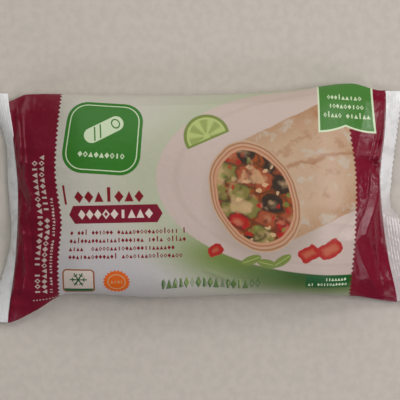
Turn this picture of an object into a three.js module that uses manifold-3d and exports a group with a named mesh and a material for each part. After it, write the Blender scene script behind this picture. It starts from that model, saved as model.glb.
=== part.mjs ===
// A flow-wrapped frozen burrito, lying on its back with the printed front up.
//
// One printed film tube is drawn round the burrito, welded along the back into a seam that lies flat,
// and closed across each end by a seal whose free fin is cut to a zigzag edge. The film stands
// off the burrito as a low pillow: flat underneath, domed on top, wide at the four corners where
// both layers lie together as ears. The right end is crushed into a folded flap.
//
// Millimetres, +Z up, X along the pack. Far is the +Y side and near is the -Y side. The origin is
// on the table, in the middle of the pack's footprint.

import * as THREE from "three";
import { mergeVertices } from "three/addons/utils/BufferGeometryUtils.js";
import Module from "manifold-3d";

const wasm = await Module();
wasm.setup();

// Driving dimensions
const HALF_LENGTH = 90; // middle of the pack to the corners of its ears
const BODY_HEIGHT = 27;
const SIDE_HEIGHT = 10.5; // where the film turns round the long sides
const FOOT_SINK = 2; // how far the underside is pressed flat by the weight
const SEAL_HEIGHT = 7.6; // middle of an end seal above the table
const SEAL_WAVE = 0.5; // how far the seal rises and dips along its length
const SEAL_WAVE_RATE = 7;
const EAR_HEIGHT = 2.7; // its corners droop to this height
const SEAL_HALF_THICKNESS = 0.8;

const FIN_LENGTH = 8.5;
const FIN_THICKNESS = 0.8;
const FIN_ROOT = 2; // length of fin inside the seal
const FIN_LIFT = 1.3; // mean height of the cut edge's middle line above the table
const FIN_WAVE = 0.6;
const FIN_WAVE_RATE = 9;
// Half widths of the two fins on each side, which stand past the ears where those are folded
const LEFT_FIN = { near: 59.6, far: 47.6 };
const RIGHT_FIN = { near: 49.7, far: 48.8 };
const TOOTH_PITCH = 2.6;
const TOOTH_DEPTH = 1.1;

const SEAM_WIDTH = 12;
const SEAM_THICKNESS = 0.8;
const SEAM_NEAR_Y = -13;
const SEAM_REACH = 0.94; // share of the half length
const SEAM_RECESS = 0.55; // depth of the trough that the seam lies in
const TROUGH_SLOPE = 2.5; // width of each side of that trough

// Outline of the film seen from above. Each pair is a place along the pack and the distance of
// that side from the centre line. The last pair at each end is the corner of an ear.
const FAR_SIDE = [
  [-90, 43.5],
  [-81, 47],
  [-45, 46.5],
  [0, 46.5],
  [45, 48.5],
  [73, 52],
  [87, 49],
];
const NEAR_SIDE = [
  [-90, 60],
  [-77, 54],
  [-63, 46],
  [-20, 47.5],
  [24, 46],
  [70, 47],
  [90, 50],
];

// Each end seal seen from above. Each pair is a place across the seal, from -1 at the near
// corner to 1 at the far one, and its distance from the middle of the pack.
const LEFT_SEAL = [
  [-1, 90],
  [-0.5, 86],
  [0, 84.8],
  [0.5, 86.6],
  [1, 90.2],
];
const RIGHT_SEAL = [
  [-1, 92.3],
  [-0.6, 88],
  [-0.2, 85],
  [0.2, 84],
  [0.6, 86.2],
  [1, 87],
];

// How the film's thickness grows from the seals and the sides to the middle, as exponents
const END_FALL = 4.5;
const END_ROUNDNESS = 0.8;
const TOP_FALL = 2.7;
const TOP_ROUNDNESS = 0.5;
const EAR_FALL = 2;
const EAR_ROUNDNESS = 1.1;
const FOOT_FALL = 4;
const ENDS_FROM = 0.6; // share of the half length where the ends begin to change shape

// Folds in the front film, in plan: [x, y] points along the fold
const FLAP_EDGE = [
  [82, 14.5],
  [71.3, -19],
  [76.5, -36],
  [87, -50],
];
const FLAP_HEIGHT = 2.6;
const FLAP_RUN = 15; // distance over which the flap sinks back into the film
const ROLL_EDGE = [
  [81.5, 44],
  [82.3, 28.8],
  [78.4, 15],
];
const ROLL_HEIGHT = 1.5;
const ROLL_RUN = 7;
const STEP_WIDTH = 3; // plan width of the drop at a fold's free edge
// Creases: [from, to, height, half width]
const CREASES = [
  [[-85, 42], [-82.5, 14], 1.3, 3],
  [[-82.5, 14], [-78, 2], 1.1, 3],
  [[-82, -6], [-62, -14], 1.2, 3.4],
  [[-83, -28], [-68, -36], 1.0, 3.2],
  [[-34, 42], [46, 43], 0.7, 3.6],
  [[1, -36], [22, -44], 0.7, 3.2],
];
const GATHER_HEIGHT = 0.9; // pleats that run in from each seal
const GATHER_PITCH = 13;
const GATHER_REACH = 17;
const WELD_WIDTH = 3.5; // plan width of flat film beside each seal, clear of every fold
const WELD_FALL = 16; // how squarely the weld ends at the ears

// Mesh density
const MIDDLE_STEPS = 16;
const END_STEPS = 13;
const END_ZONE = 0.34; // share of the half length meshed finely at each end
const CROSS_STEPS = 38;

const FILM_COLOUR = 0xd9d0c4;

// Shares of the way from low to high, eased at both ends.
const ease = (low, high, x) => THREE.MathUtils.smoothstep(x, low, high);
const mix = THREE.MathUtils.lerp;

// Value at x of a smooth curve through [place, value] pairs, flat beyond the first and last.
function through(pairs, x) {
  const last = pairs.length - 1;
  const clamped = THREE.MathUtils.clamp(x, pairs[0][0], pairs[last][0]);
  const i = Math.min(last - 1, pairs.findLastIndex((p) => p[0] <= clamped));
  const value = (k) => pairs[THREE.MathUtils.clamp(k, 0, last)][1];
  const share = (clamped - pairs[i][0]) / (pairs[i + 1][0] - pairs[i][0]);
  const slopeIn = (value(i + 1) - value(i - 1)) / 2;
  const slopeOut = (value(i + 2) - value(i)) / 2;
  const [s, s2, s3] = [share, share ** 2, share ** 3];
  return (
    value(i) * (2 * s3 - 3 * s2 + 1) +
    slopeIn * (s3 - 2 * s2 + s) +
    value(i + 1) * (3 * s2 - 2 * s3) +
    slopeOut * (s3 - s2)
  );
}

// Plan position of the film. along runs from -1 at the left seal to 1 at the right one, and
// across from -1 at the near side to 1 at the far side.
function plan(along, across) {
  const left = -through(LEFT_SEAL, across);
  const right = through(RIGHT_SEAL, across);
  const x = mix(left, right, (along + 1) / 2);
  const side = across > 0 ? FAR_SIDE : NEAR_SIDE;
  return [x, across * through(side, along * HALF_LENGTH)];
}

// Height of the line where the front and back film meet, at the sides and at the seals.
function meetingHeight(along, across) {
  const atEnd = ease(ENDS_FROM, 1, Math.abs(along));
  const sealWave = SEAL_WAVE * Math.sin(across * SEAL_WAVE_RATE + along * 2);
  const seal = mix(SEAL_HEIGHT + sealWave, EAR_HEIGHT, Math.abs(across) ** 2.5);
  return mix(SIDE_HEIGHT, seal, atEnd);
}

// Distance from p to the segment a-b, the share of the way along it, and the side p lies on:
// positive to the left of the way from a to b.
function fromSegment([px, py], [ax, ay], [bx, by]) {
  const [dx, dy] = [bx - ax, by - ay];
  const share = ((px - ax) * dx + (py - ay) * dy) / (dx * dx + dy * dy);
  const t = THREE.MathUtils.clamp(share, 0, 1);
  const distance = Math.hypot(px - ax - t * dx, py - ay - t * dy);
  return { distance, share, side: Math.sign(dx * (py - ay) - dy * (px - ax)) };
}

// A fold of film lying on the film under it: it stands up at its free edge and sinks back over
// run on the left of that edge.
function foldHeight(point, edge, height, run) {
  const pieces = edge.slice(1).map((end, i) => fromSegment(point, edge[i], end));
  const nearest = pieces.reduce((a, b) => (b.distance < a.distance ? b : a));
  const inside = nearest.distance * nearest.side;
  const step = ease(-STEP_WIDTH / 2, STEP_WIDTH / 2, inside);
  return height * step * (1 - ease(0, run, inside));
}

// A straight crease, highest in the middle of its length.
function creaseHeight(point, [from, to, height, halfWidth]) {
  const { distance, share } = fromSegment(point, from, to);
  const fade = ease(-0.15, 0.3, share) * (1 - ease(0.7, 1.15, share));
  return height * fade * Math.max(0, 1 - distance / halfWidth);
}

// Everything that stands on the smooth front film at a plan position.
function frontRelief(along, across) {
  const point = plan(along, across);
  const flap = foldHeight(point, FLAP_EDGE, FLAP_HEIGHT, FLAP_RUN);
  const roll = foldHeight(point, ROLL_EDGE, ROLL_HEIGHT, ROLL_RUN);
  const creases = CREASES.reduce((sum, c) => sum + creaseHeight(point, c), 0);
  const fromSeal = (1 - Math.abs(along)) * HALF_LENGTH;
  const pleat = 1 - Math.abs(Math.sin((Math.PI * point[1]) / GATHER_PITCH + along));
  const gather = GATHER_HEIGHT * pleat * Math.exp(-fromSeal / GATHER_REACH);
  const clearOfEdges = ease(0, WELD_WIDTH, fromSeal) * (1 - Math.abs(across) ** 10);
  return (Math.max(flap, roll) + creases + gather) * clearOfEdges;
}

// Heights of the front and the back film.
function frontHeight(along, across) {
  const atEnd = ease(ENDS_FROM, 1, Math.abs(along));
  const lengthwise = (1 - Math.abs(along) ** END_FALL) ** END_ROUNDNESS;
  const fall = mix(TOP_FALL, EAR_FALL, atEnd);
  const crosswise = (1 - Math.abs(across) ** fall) ** mix(TOP_ROUNDNESS, EAR_ROUNDNESS, atEnd);
  const rise = BODY_HEIGHT - SIDE_HEIGHT - SEAL_HALF_THICKNESS;
  const weld = SEAL_HALF_THICKNESS * (1 - Math.abs(across) ** WELD_FALL);
  const smooth = meetingHeight(along, across) + weld + rise * lengthwise * crosswise;
  return smooth + frontRelief(along, across);
}

function backHeight(along, across) {
  const lengthwise = (1 - Math.abs(along) ** END_FALL) ** END_ROUNDNESS;
  const crosswise = (1 - Math.abs(across) ** FOOT_FALL) ** TOP_ROUNDNESS;
  const drop = SIDE_HEIGHT + FOOT_SINK - SEAL_HALF_THICKNESS;
  const weld = SEAL_HALF_THICKNESS * (1 - Math.abs(across) ** WELD_FALL);
  return Math.max(0, meetingHeight(along, across) - weld - drop * lengthwise * crosswise);
}

// The trough in the underside that the folded seam lies in.
function troughHeight(y) {
  const [near, far] = [SEAM_NEAR_Y, SEAM_NEAR_Y + SEAM_WIDTH];
  return SEAM_RECESS * (ease(near - TROUGH_SLOPE, near, y) - ease(far, far + TROUGH_SLOPE, y));
}

// A closed sheet from two grids of points: upper(i, j) and lower(i, j), i along X and j along Y.
function sheet(rows, columns, upper, lower) {
  const points = [];
  const corner = (i, j, layer) => (layer * (rows + 1) + i) * (columns + 1) + j;
  for (const layer of [upper, lower])
    for (let i = 0; i <= rows; i++)
      for (let j = 0; j <= columns; j++) points.push(...layer(i, j));
  const faces = [];
  const quad = (a, b, c, d) => faces.push(a, b, c, a, c, d);
  for (let i = 0; i < rows; i++)
    for (let j = 0; j < columns; j++) {
      quad(corner(i, j, 0), corner(i + 1, j, 0), corner(i + 1, j + 1, 0), corner(i, j + 1, 0));
      quad(corner(i, j, 1), corner(i, j + 1, 1), corner(i + 1, j + 1, 1), corner(i + 1, j, 1));
    }
  for (let i = 0; i < rows; i++) {
    quad(corner(i, 0, 1), corner(i + 1, 0, 1), corner(i + 1, 0, 0), corner(i, 0, 0));
    quad(corner(i + 1, columns, 1), corner(i, columns, 1), corner(i, columns, 0), corner(i + 1, columns, 0));
  }
  for (let j = 0; j < columns; j++) {
    quad(corner(0, j + 1, 1), corner(0, j, 1), corner(0, j, 0), corner(0, j + 1, 0));
    quad(corner(rows, j, 1), corner(rows, j + 1, 1), corner(rows, j + 1, 0), corner(rows, j, 0));
  }
  const geometry = new THREE.BufferGeometry();
  geometry.setAttribute("position", new THREE.Float32BufferAttribute(points, 3));
  geometry.setIndex(faces);
  return geometry;
}

// A manifold solid of a closed geometry, without the triangles that collapse where two points meet.
function solid(geometry) {
  const merged = mergeVertices(geometry, 1e-4);
  const kept = [];
  for (let i = 0; i < merged.index.count; i += 3) {
    const [a, b, c] = [0, 1, 2].map((k) => merged.index.getX(i + k));
    if (a !== b && b !== c && c !== a) kept.push(a, b, c);
  }
  return new wasm.Manifold(
    new wasm.Mesh({
      numProp: 3,
      vertProperties: merged.attributes.position.array,
      triVerts: new Uint32Array(kept),
    }),
  );
}

// Lengthwise places of the body's grid, close together at the ends.
function lengthwisePlaces() {
  const middle = 1 - END_ZONE;
  const places = [];
  for (let i = 0; i <= END_STEPS; i++) places.push(-1 + (END_ZONE * i) / END_STEPS);
  for (let i = 1; i < MIDDLE_STEPS; i++) places.push(-middle + (2 * middle * i) / MIDDLE_STEPS);
  for (let i = 0; i <= END_STEPS; i++) places.push(middle + (END_ZONE * i) / END_STEPS);
  return places;
}

// Crosswise places, spaced evenly along the front film at mid length.
function crosswisePlaces() {
  const fine = 2000;
  const lengths = [0];
  const place = (k) => -Math.cos((Math.PI * k) / fine);
  const spot = (k) => [place(k) * through(FAR_SIDE, 0), frontHeight(0, place(k))];
  for (let k = 1; k <= fine; k++) {
    const [a, b] = [spot(k - 1), spot(k)];
    lengths.push(lengths[k - 1] + Math.hypot(b[0] - a[0], b[1] - a[1]));
  }
  return Array.from({ length: CROSS_STEPS + 1 }, (_, j) => {
    const wanted = (lengths[fine] * j) / CROSS_STEPS;
    return place(Math.max(0, lengths.findIndex((length) => length >= wanted - 1e-9)));
  });
}

function body() {
  const alongs = lengthwisePlaces();
  const acrosses = crosswisePlaces();
  const upper = (i, j) => [...plan(alongs[i], acrosses[j]), frontHeight(alongs[i], acrosses[j])];
  const lower = (i, j) => {
    const [x, y] = plan(alongs[i], acrosses[j]);
    const z = backHeight(alongs[i], acrosses[j]);
    return [x, y, Math.max(z, troughHeight(y))];
  };
  return solid(sheet(alongs.length - 1, CROSS_STEPS, upper, lower));
}

// The free fin of an end seal: end is -1 at the left and 1 at the right. It slopes down to the
// table from the weld, and its cut edge is a zigzag.
function fin(end) {
  const { near, far } = end > 0 ? RIGHT_FIN : LEFT_FIN;
  const teeth = Math.round((near + far) / TOOTH_PITCH);
  const lengths = [-FIN_ROOT, 0, FIN_LENGTH / 2, FIN_LENGTH];
  const middleLine = (i, j) => {
    const across = -1 + j / teeth;
    const x = end * through(end > 0 ? RIGHT_SEAL : LEFT_SEAL, across);
    const y = across * (across > 0 ? far : near);
    const weld = meetingHeight(end, across);
    const cutEdge = FIN_LIFT + FIN_WAVE * Math.sin(across * FIN_WAVE_RATE + end);
    const down = Math.asin((weld - cutEdge) / FIN_LENGTH);
    const tooth = i === lengths.length - 1 && j % 2 === 0 ? -TOOTH_DEPTH : 0;
    const out = Math.max(0, lengths[i] + tooth);
    const outward = out * Math.cos(down) + Math.min(0, lengths[i]);
    return [x + end * outward, y, weld - out * Math.sin(down)];
  };
  const offset = (side) => (i, j) => {
    const [x, y, z] = middleLine(end > 0 ? i : lengths.length - 1 - i, j);
    return [x, y, z + (side * FIN_THICKNESS) / 2];
  };
  return solid(sheet(lengths.length - 1, 2 * teeth, offset(1), offset(-1)));
}

// The seam along the back, folded flat against the underside.
function backSeam() {
  const steps = 30;
  const lowest = (i, j) => {
    const along = mix(-SEAM_REACH, SEAM_REACH, i / steps);
    const y = SEAM_NEAR_Y + (SEAM_WIDTH * j) / 2;
    const across = y / through(NEAR_SIDE, along * HALF_LENGTH);
    return [...plan(along, across), backHeight(along, across)];
  };
  const upper = (i, j) => {
    const [x, y, z] = lowest(i, j);
    return [x, y, z + SEAM_THICKNESS];
  };
  return solid(sheet(steps, 2, upper, lowest));
}

// The whole pack as one geometry, with the middle of its footprint at the origin.
function packGeometry() {
  const whole = body().add(fin(-1)).add(fin(1)).add(backSeam());
  const mesh = whole.getMesh();
  const geometry = new THREE.BufferGeometry();
  geometry.setAttribute("position", new THREE.BufferAttribute(mesh.vertProperties, 3));
  geometry.setIndex(new THREE.BufferAttribute(mesh.triVerts, 1));
  geometry.computeBoundingBox();
  const { min, max } = geometry.boundingBox;
  geometry.translate(-(min.x + max.x) / 2, -(min.y + max.y) / 2, -min.z);
  geometry.computeVertexNormals();
  return geometry;
}

const film = new THREE.MeshStandardMaterial({ color: FILM_COLOUR, roughness: 0.42, metalness: 0 });
const pack = new THREE.Mesh(packGeometry(), film);
pack.name = "pack";

const wrappedBurrito = new THREE.Group();
wrappedBurrito.add(pack);

export default wrappedBurrito;
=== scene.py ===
"""A flow-wrapped frozen burrito: the printed film, its end fins and back seam, and the studio.

The film's shape follows the same sizes as the solid that it stands for. Lengths are millimetres in
plan: X along the pack, Y across it and Z up from the table, and a mesh is written in metres. The
film has coordinates of its own, also in millimetres: U along the pack from its middle, and V round
the film from the front's middle line.
"""

import logging
import math
from dataclasses import dataclass, field
from enum import Enum
from typing import Sequence

import bpy
import numpy as np
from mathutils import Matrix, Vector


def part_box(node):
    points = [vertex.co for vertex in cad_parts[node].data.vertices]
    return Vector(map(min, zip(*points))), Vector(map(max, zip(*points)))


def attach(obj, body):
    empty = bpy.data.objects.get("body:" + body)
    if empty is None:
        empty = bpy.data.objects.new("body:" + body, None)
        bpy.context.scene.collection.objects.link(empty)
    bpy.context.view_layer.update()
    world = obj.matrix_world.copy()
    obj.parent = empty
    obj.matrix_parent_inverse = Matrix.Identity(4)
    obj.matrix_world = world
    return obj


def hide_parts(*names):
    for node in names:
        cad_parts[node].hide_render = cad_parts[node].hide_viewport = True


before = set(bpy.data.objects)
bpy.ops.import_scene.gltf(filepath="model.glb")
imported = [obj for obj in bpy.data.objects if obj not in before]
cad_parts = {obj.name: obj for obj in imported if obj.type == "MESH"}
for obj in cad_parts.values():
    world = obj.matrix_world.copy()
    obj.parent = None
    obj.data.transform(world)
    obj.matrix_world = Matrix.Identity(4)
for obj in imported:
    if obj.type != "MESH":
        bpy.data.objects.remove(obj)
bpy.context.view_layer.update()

log = logging.getLogger("wrapped_burrito")

NODE = "pack"
MILLIMETRE = 0.001
Point = tuple[float, float]
Colour = tuple[float, ...]

# How far an end seal is from the pack's middle, and a fin's edge from the seal at an ear
SEAL_DISTANCE = 86
FIN_REACH = 8.4

# How the photograph records light: the share of a lit white surface's light, and the film's haze
PHOTO_EXPOSURE = 0.66
PHOTO_HAZE = 0.018
DARKEST_INK = 0.004


def ink(red: int, green: int, blue: int) -> Colour:
    """Turn a colour seen in the photograph into the colour of the material.

    Args:
        red: Red from 0 to 255 as the photograph shows it.
        green: Green from 0 to 255.
        blue: Blue from 0 to 255.

    Returns:
        The linear colour, with alpha 1.
    """
    linear = [((c / 255 + 0.055) / 1.055) ** 2.4 for c in (red, green, blue)]
    return (*(max(DARKEST_INK, (c - PHOTO_HAZE) / PHOTO_EXPOSURE) for c in linear), 1.0)


def ease(low: float, high: float, x: np.ndarray) -> np.ndarray:
    """Rise smoothly from 0 at low to 1 at high."""
    share = np.clip((x - low) / (high - low), 0, 1)
    return share * share * (3 - 2 * share)


def mix(a: np.ndarray | float, b: np.ndarray | float, share: np.ndarray | float) -> np.ndarray:
    """Go from a to b by a share."""
    return a + (b - a) * share


def walk(steps: np.ndarray) -> np.ndarray:
    """Add up steps along the last axis, starting from 0."""
    start = np.zeros((*steps.shape[:-1], 1))
    return np.concatenate([start, np.cumsum(steps, axis=-1)], axis=-1)


@dataclass(frozen=True)
class Curve:
    """A smooth curve through (place, value) pairs, flat beyond its ends."""

    pairs: tuple[Point, ...]

    def at(self, place: np.ndarray) -> np.ndarray:
        """Read the curve.

        Args:
            place: Places at which to read it.

        Returns:
            The values there.
        """
        places = np.array([p for p, _ in self.pairs])
        values = np.array([v for _, v in self.pairs])
        last = len(places) - 1
        clamped = np.clip(place, places[0], places[last])
        i = np.clip(np.searchsorted(places, clamped, side="right") - 1, 0, last - 1)
        s = (clamped - places[i]) / (places[i + 1] - places[i])
        before, after = values[np.maximum(i - 1, 0)], values[np.minimum(i + 2, last)]
        slope_in = (values[i + 1] - before) / 2
        slope_out = (after - values[i]) / 2
        return (
            values[i] * (2 * s**3 - 3 * s**2 + 1)
            + slope_in * (s**3 - 2 * s**2 + s)
            + values[i + 1] * (3 * s**2 - 2 * s**3)
            + slope_out * (s**3 - s**2)
        )


def rumple(x: np.ndarray, y: np.ndarray, pitch: float, seed: int) -> np.ndarray:
    """Make soft random bumps.

    Args:
        x: Places along the pack.
        y: Places across it.
        pitch: Distance between bumps.
        seed: Chooses the bumps.

    Returns:
        Heights between -1 and 1.
    """
    size = 64
    lattice = np.random.default_rng(seed).uniform(-1, 1, (size, size))
    turn = 0.5 + seed
    a = (x * math.cos(turn) + y * math.sin(turn)) / pitch + size / 2
    b = (y * math.cos(turn) - x * math.sin(turn)) / pitch + size / 2
    i, j = np.floor(a).astype(int), np.floor(b).astype(int)
    s, t = ease(0, 1, a - i), ease(0, 1, b - j)
    low = mix(lattice[i % size, j % size], lattice[(i + 1) % size, j % size], s)
    high = mix(lattice[i % size, (j + 1) % size], lattice[(i + 1) % size, (j + 1) % size], s)
    return mix(low, high, t)


def crumple(x: np.ndarray, y: np.ndarray, pitch: float, seed: int) -> np.ndarray:
    """Make flat facets that meet in sharp ridges, as crushed film does.

    Args:
        x: Places along the pack.
        y: Places across it.
        pitch: Typical width of a facet.
        seed: Chooses the facets.

    Returns:
        Heights of about -1 to 1.
    """
    size, bulge, gain = 48, 0.9, 1.6
    rng = np.random.default_rng(seed)
    jitter = rng.uniform(0.1, 0.9, (size, size, 2))
    tilt = rng.uniform(-1, 1, (size, size, 2))
    a, b = x / pitch + size / 2, y / pitch + size / 2
    i, j = np.floor(a).astype(int), np.floor(b).astype(int)
    lowest = np.full(x.shape, np.inf)
    for di in (-1, 0, 1):
        for dj in (-1, 0, 1):
            cell = ((i + di) % size, (j + dj) % size)
            dx = a - (i + di) - jitter[(*cell, 0)]
            dy = b - (j + dj) - jitter[(*cell, 1)]
            plane = dx * tilt[(*cell, 0)] + dy * tilt[(*cell, 1)] + bulge * (dx * dx + dy * dy)
            lowest = np.minimum(lowest, plane)
    return gain * lowest


def from_line(x: np.ndarray, y: np.ndarray, line: Sequence[Point]) -> tuple[np.ndarray, ...]:
    """Measure places from a line of straight pieces.

    Args:
        x: Places along the pack.
        y: Places across it.
        line: The line's points.

    Returns:
        The distance from the line, positive to its left, and the share of the way along it.
    """
    nearest = np.full(x.shape, np.inf)
    signed = np.zeros(x.shape)
    way = np.zeros(x.shape)
    lengths = [math.dist(a, b) for a, b in zip(line, line[1:])]
    walked = 0.0
    for (ax, ay), (bx, by), length in zip(line, line[1:], lengths):
        dx, dy = bx - ax, by - ay
        t = np.clip(((x - ax) * dx + (y - ay) * dy) / length**2, 0, 1)
        distance = np.hypot(x - ax - t * dx, y - ay - t * dy)
        side = np.where(dx * (y - ay) - dy * (x - ax) < 0, -1.0, 1.0)
        closer = distance < nearest
        nearest = np.where(closer, distance, nearest)
        signed = np.where(closer, distance * side, signed)
        way = np.where(closer, (walked + t * length) / sum(lengths), way)
        walked += length
    return signed, way


@dataclass(frozen=True)
class Crease:
    """A ridge in the film along a line, or a groove where its height is negative."""

    line: tuple[Point, ...]
    height: float
    width: float

    def height_at(self, x: np.ndarray, y: np.ndarray) -> np.ndarray:
        """Give the ridge's height, sharp at its crest and fading towards both its ends.

        Args:
            x: Places along the pack, in plan.
            y: Places across the pack, in plan.

        Returns:
            The heights.
        """
        signed, way = from_line(x, y, self.line)
        fade = ease(0, 0.25, way) * (1 - ease(0.75, 1, way))
        return self.height * fade * np.exp(-np.abs(signed) / self.width)


@dataclass(frozen=True)
class FoldOver:
    """Film that lies folded over the film beside it, to the left of its free edge."""

    edge: tuple[Point, ...]
    profile: tuple[Point, ...]
    fade: tuple[float, float]
    taper: float = 1

    def height_at(self, x: np.ndarray, y: np.ndarray) -> np.ndarray:
        """Give the fold's height, by its profile of (distance inside the edge, height).

        Args:
            x: Places along the pack, in plan.
            y: Places across the pack, in plan.

        Returns:
            The heights.
        """
        signed, way = from_line(x, y, self.edge)
        places, heights = zip(*self.profile)
        start, end = self.fade
        height = np.interp(signed, places, heights) * mix(1, self.taper, ease(0.1, 0.5, way))
        return height * ease(0, start, way) * (1 - ease(1 - end, 1, way))


@dataclass
class FilmShape:
    """The film's smooth form: an outline in plan, and the heights of its front and back."""

    half_length: float = 90
    body_height: float = 27
    side_height: float = 10.5
    foot_sink: float = 2
    seal_height: float = 7.6
    seal_wave: float = 0.5
    seal_wave_rate: float = 7
    seal_wave_slant: float = 2
    seal_fall: float = 2.5
    ear_height: float = 2.7
    weld_thickness: float = 0.3
    weld_fall: float = 16
    end_fall: float = 4.5
    end_roundness: float = 0.8
    top_fall: float = 2.7
    top_roundness: float = 0.5
    ear_fall: float = 2
    ear_roundness: float = 1.1
    foot_fall: float = 4
    ends_from: float = 0.6
    far_side: Curve = Curve(
        ((-90, 43.5), (-81, 47), (-45, 46.5), (0, 46.5), (45, 48.5), (73, 52), (87, 49))
    )
    near_side: Curve = Curve(
        ((-90, 60), (-77, 54), (-63, 46), (-20, 47.5), (24, 46), (70, 47), (90, 50))
    )
    left_seal: Curve = Curve(((-1, 90), (-0.5, 86), (0, 84.8), (0.5, 86.6), (1, 90.2)))
    right_seal: Curve = Curve(
        ((-1, 92.3), (-0.6, 88), (-0.2, 85), (0.2, 84), (0.6, 86.2), (1, 87))
    )

    def plan(self, along: np.ndarray, across: np.ndarray) -> tuple[np.ndarray, np.ndarray]:
        """Place points of the film in plan.

        Args:
            along: From -1 at the left seal to 1 at the right one.
            across: From -1 at the near side to 1 at the far side.

        Returns:
            X and Y.
        """
        left, right = -self.left_seal.at(across), self.right_seal.at(across)
        x = mix(left, right, (along + 1) / 2)
        place = along * self.half_length
        side = np.where(across > 0, self.far_side.at(place), self.near_side.at(place))
        return x, across * side

    def meeting_height(self, along: np.ndarray, across: np.ndarray) -> np.ndarray:
        """Give the height where front and back film meet, at the sides and the seals.

        Args:
            along: Places from -1 at the left seal to 1 at the right one.
            across: Places from -1 at the near side to 1 at the far side.

        Returns:
            The heights.
        """
        at_end = ease(self.ends_from, 1, np.abs(along))
        wave = self.seal_wave * np.sin(across * self.seal_wave_rate + along * self.seal_wave_slant)
        seal = mix(self.seal_height + wave, self.ear_height, np.abs(across) ** self.seal_fall)
        return mix(self.side_height, seal, at_end)

    def front_height(self, along: np.ndarray, across: np.ndarray) -> np.ndarray:
        """Give the smooth front film's height.

        Args:
            along: Places from -1 at the left seal to 1 at the right one.
            across: Places from -1 at the near side to 1 at the far side.

        Returns:
            The heights.
        """
        at_end = ease(self.ends_from, 1, np.abs(along))
        lengthwise = (1 - np.abs(along) ** self.end_fall) ** self.end_roundness
        fall = mix(self.top_fall, self.ear_fall, at_end)
        roundness = mix(self.top_roundness, self.ear_roundness, at_end)
        crosswise = (1 - np.abs(across) ** fall) ** roundness
        rise = self.body_height - self.side_height - self.weld_thickness
        return self._weld_top(along, across, 1) + rise * lengthwise * crosswise

    def back_height(self, along: np.ndarray, across: np.ndarray) -> np.ndarray:
        """Give the back film's height, 0 where it is pressed flat on the table.

        Args:
            along: Places from -1 at the left seal to 1 at the right one.
            across: Places from -1 at the near side to 1 at the far side.

        Returns:
            The heights.
        """
        lengthwise = (1 - np.abs(along) ** self.end_fall) ** self.end_roundness
        crosswise = (1 - np.abs(across) ** self.foot_fall) ** self.top_roundness
        drop = self.side_height + self.foot_sink - self.weld_thickness
        return np.maximum(0, self._weld_top(along, across, -1) - drop * lengthwise * crosswise)

    def _weld_top(self, along: np.ndarray, across: np.ndarray, side: int) -> np.ndarray:
        """Give the meeting height, plus or minus half the weld's thickness."""
        half = self.weld_thickness / 2 * (1 - np.abs(across) ** self.weld_fall)
        return self.meeting_height(along, across) + side * half


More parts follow.
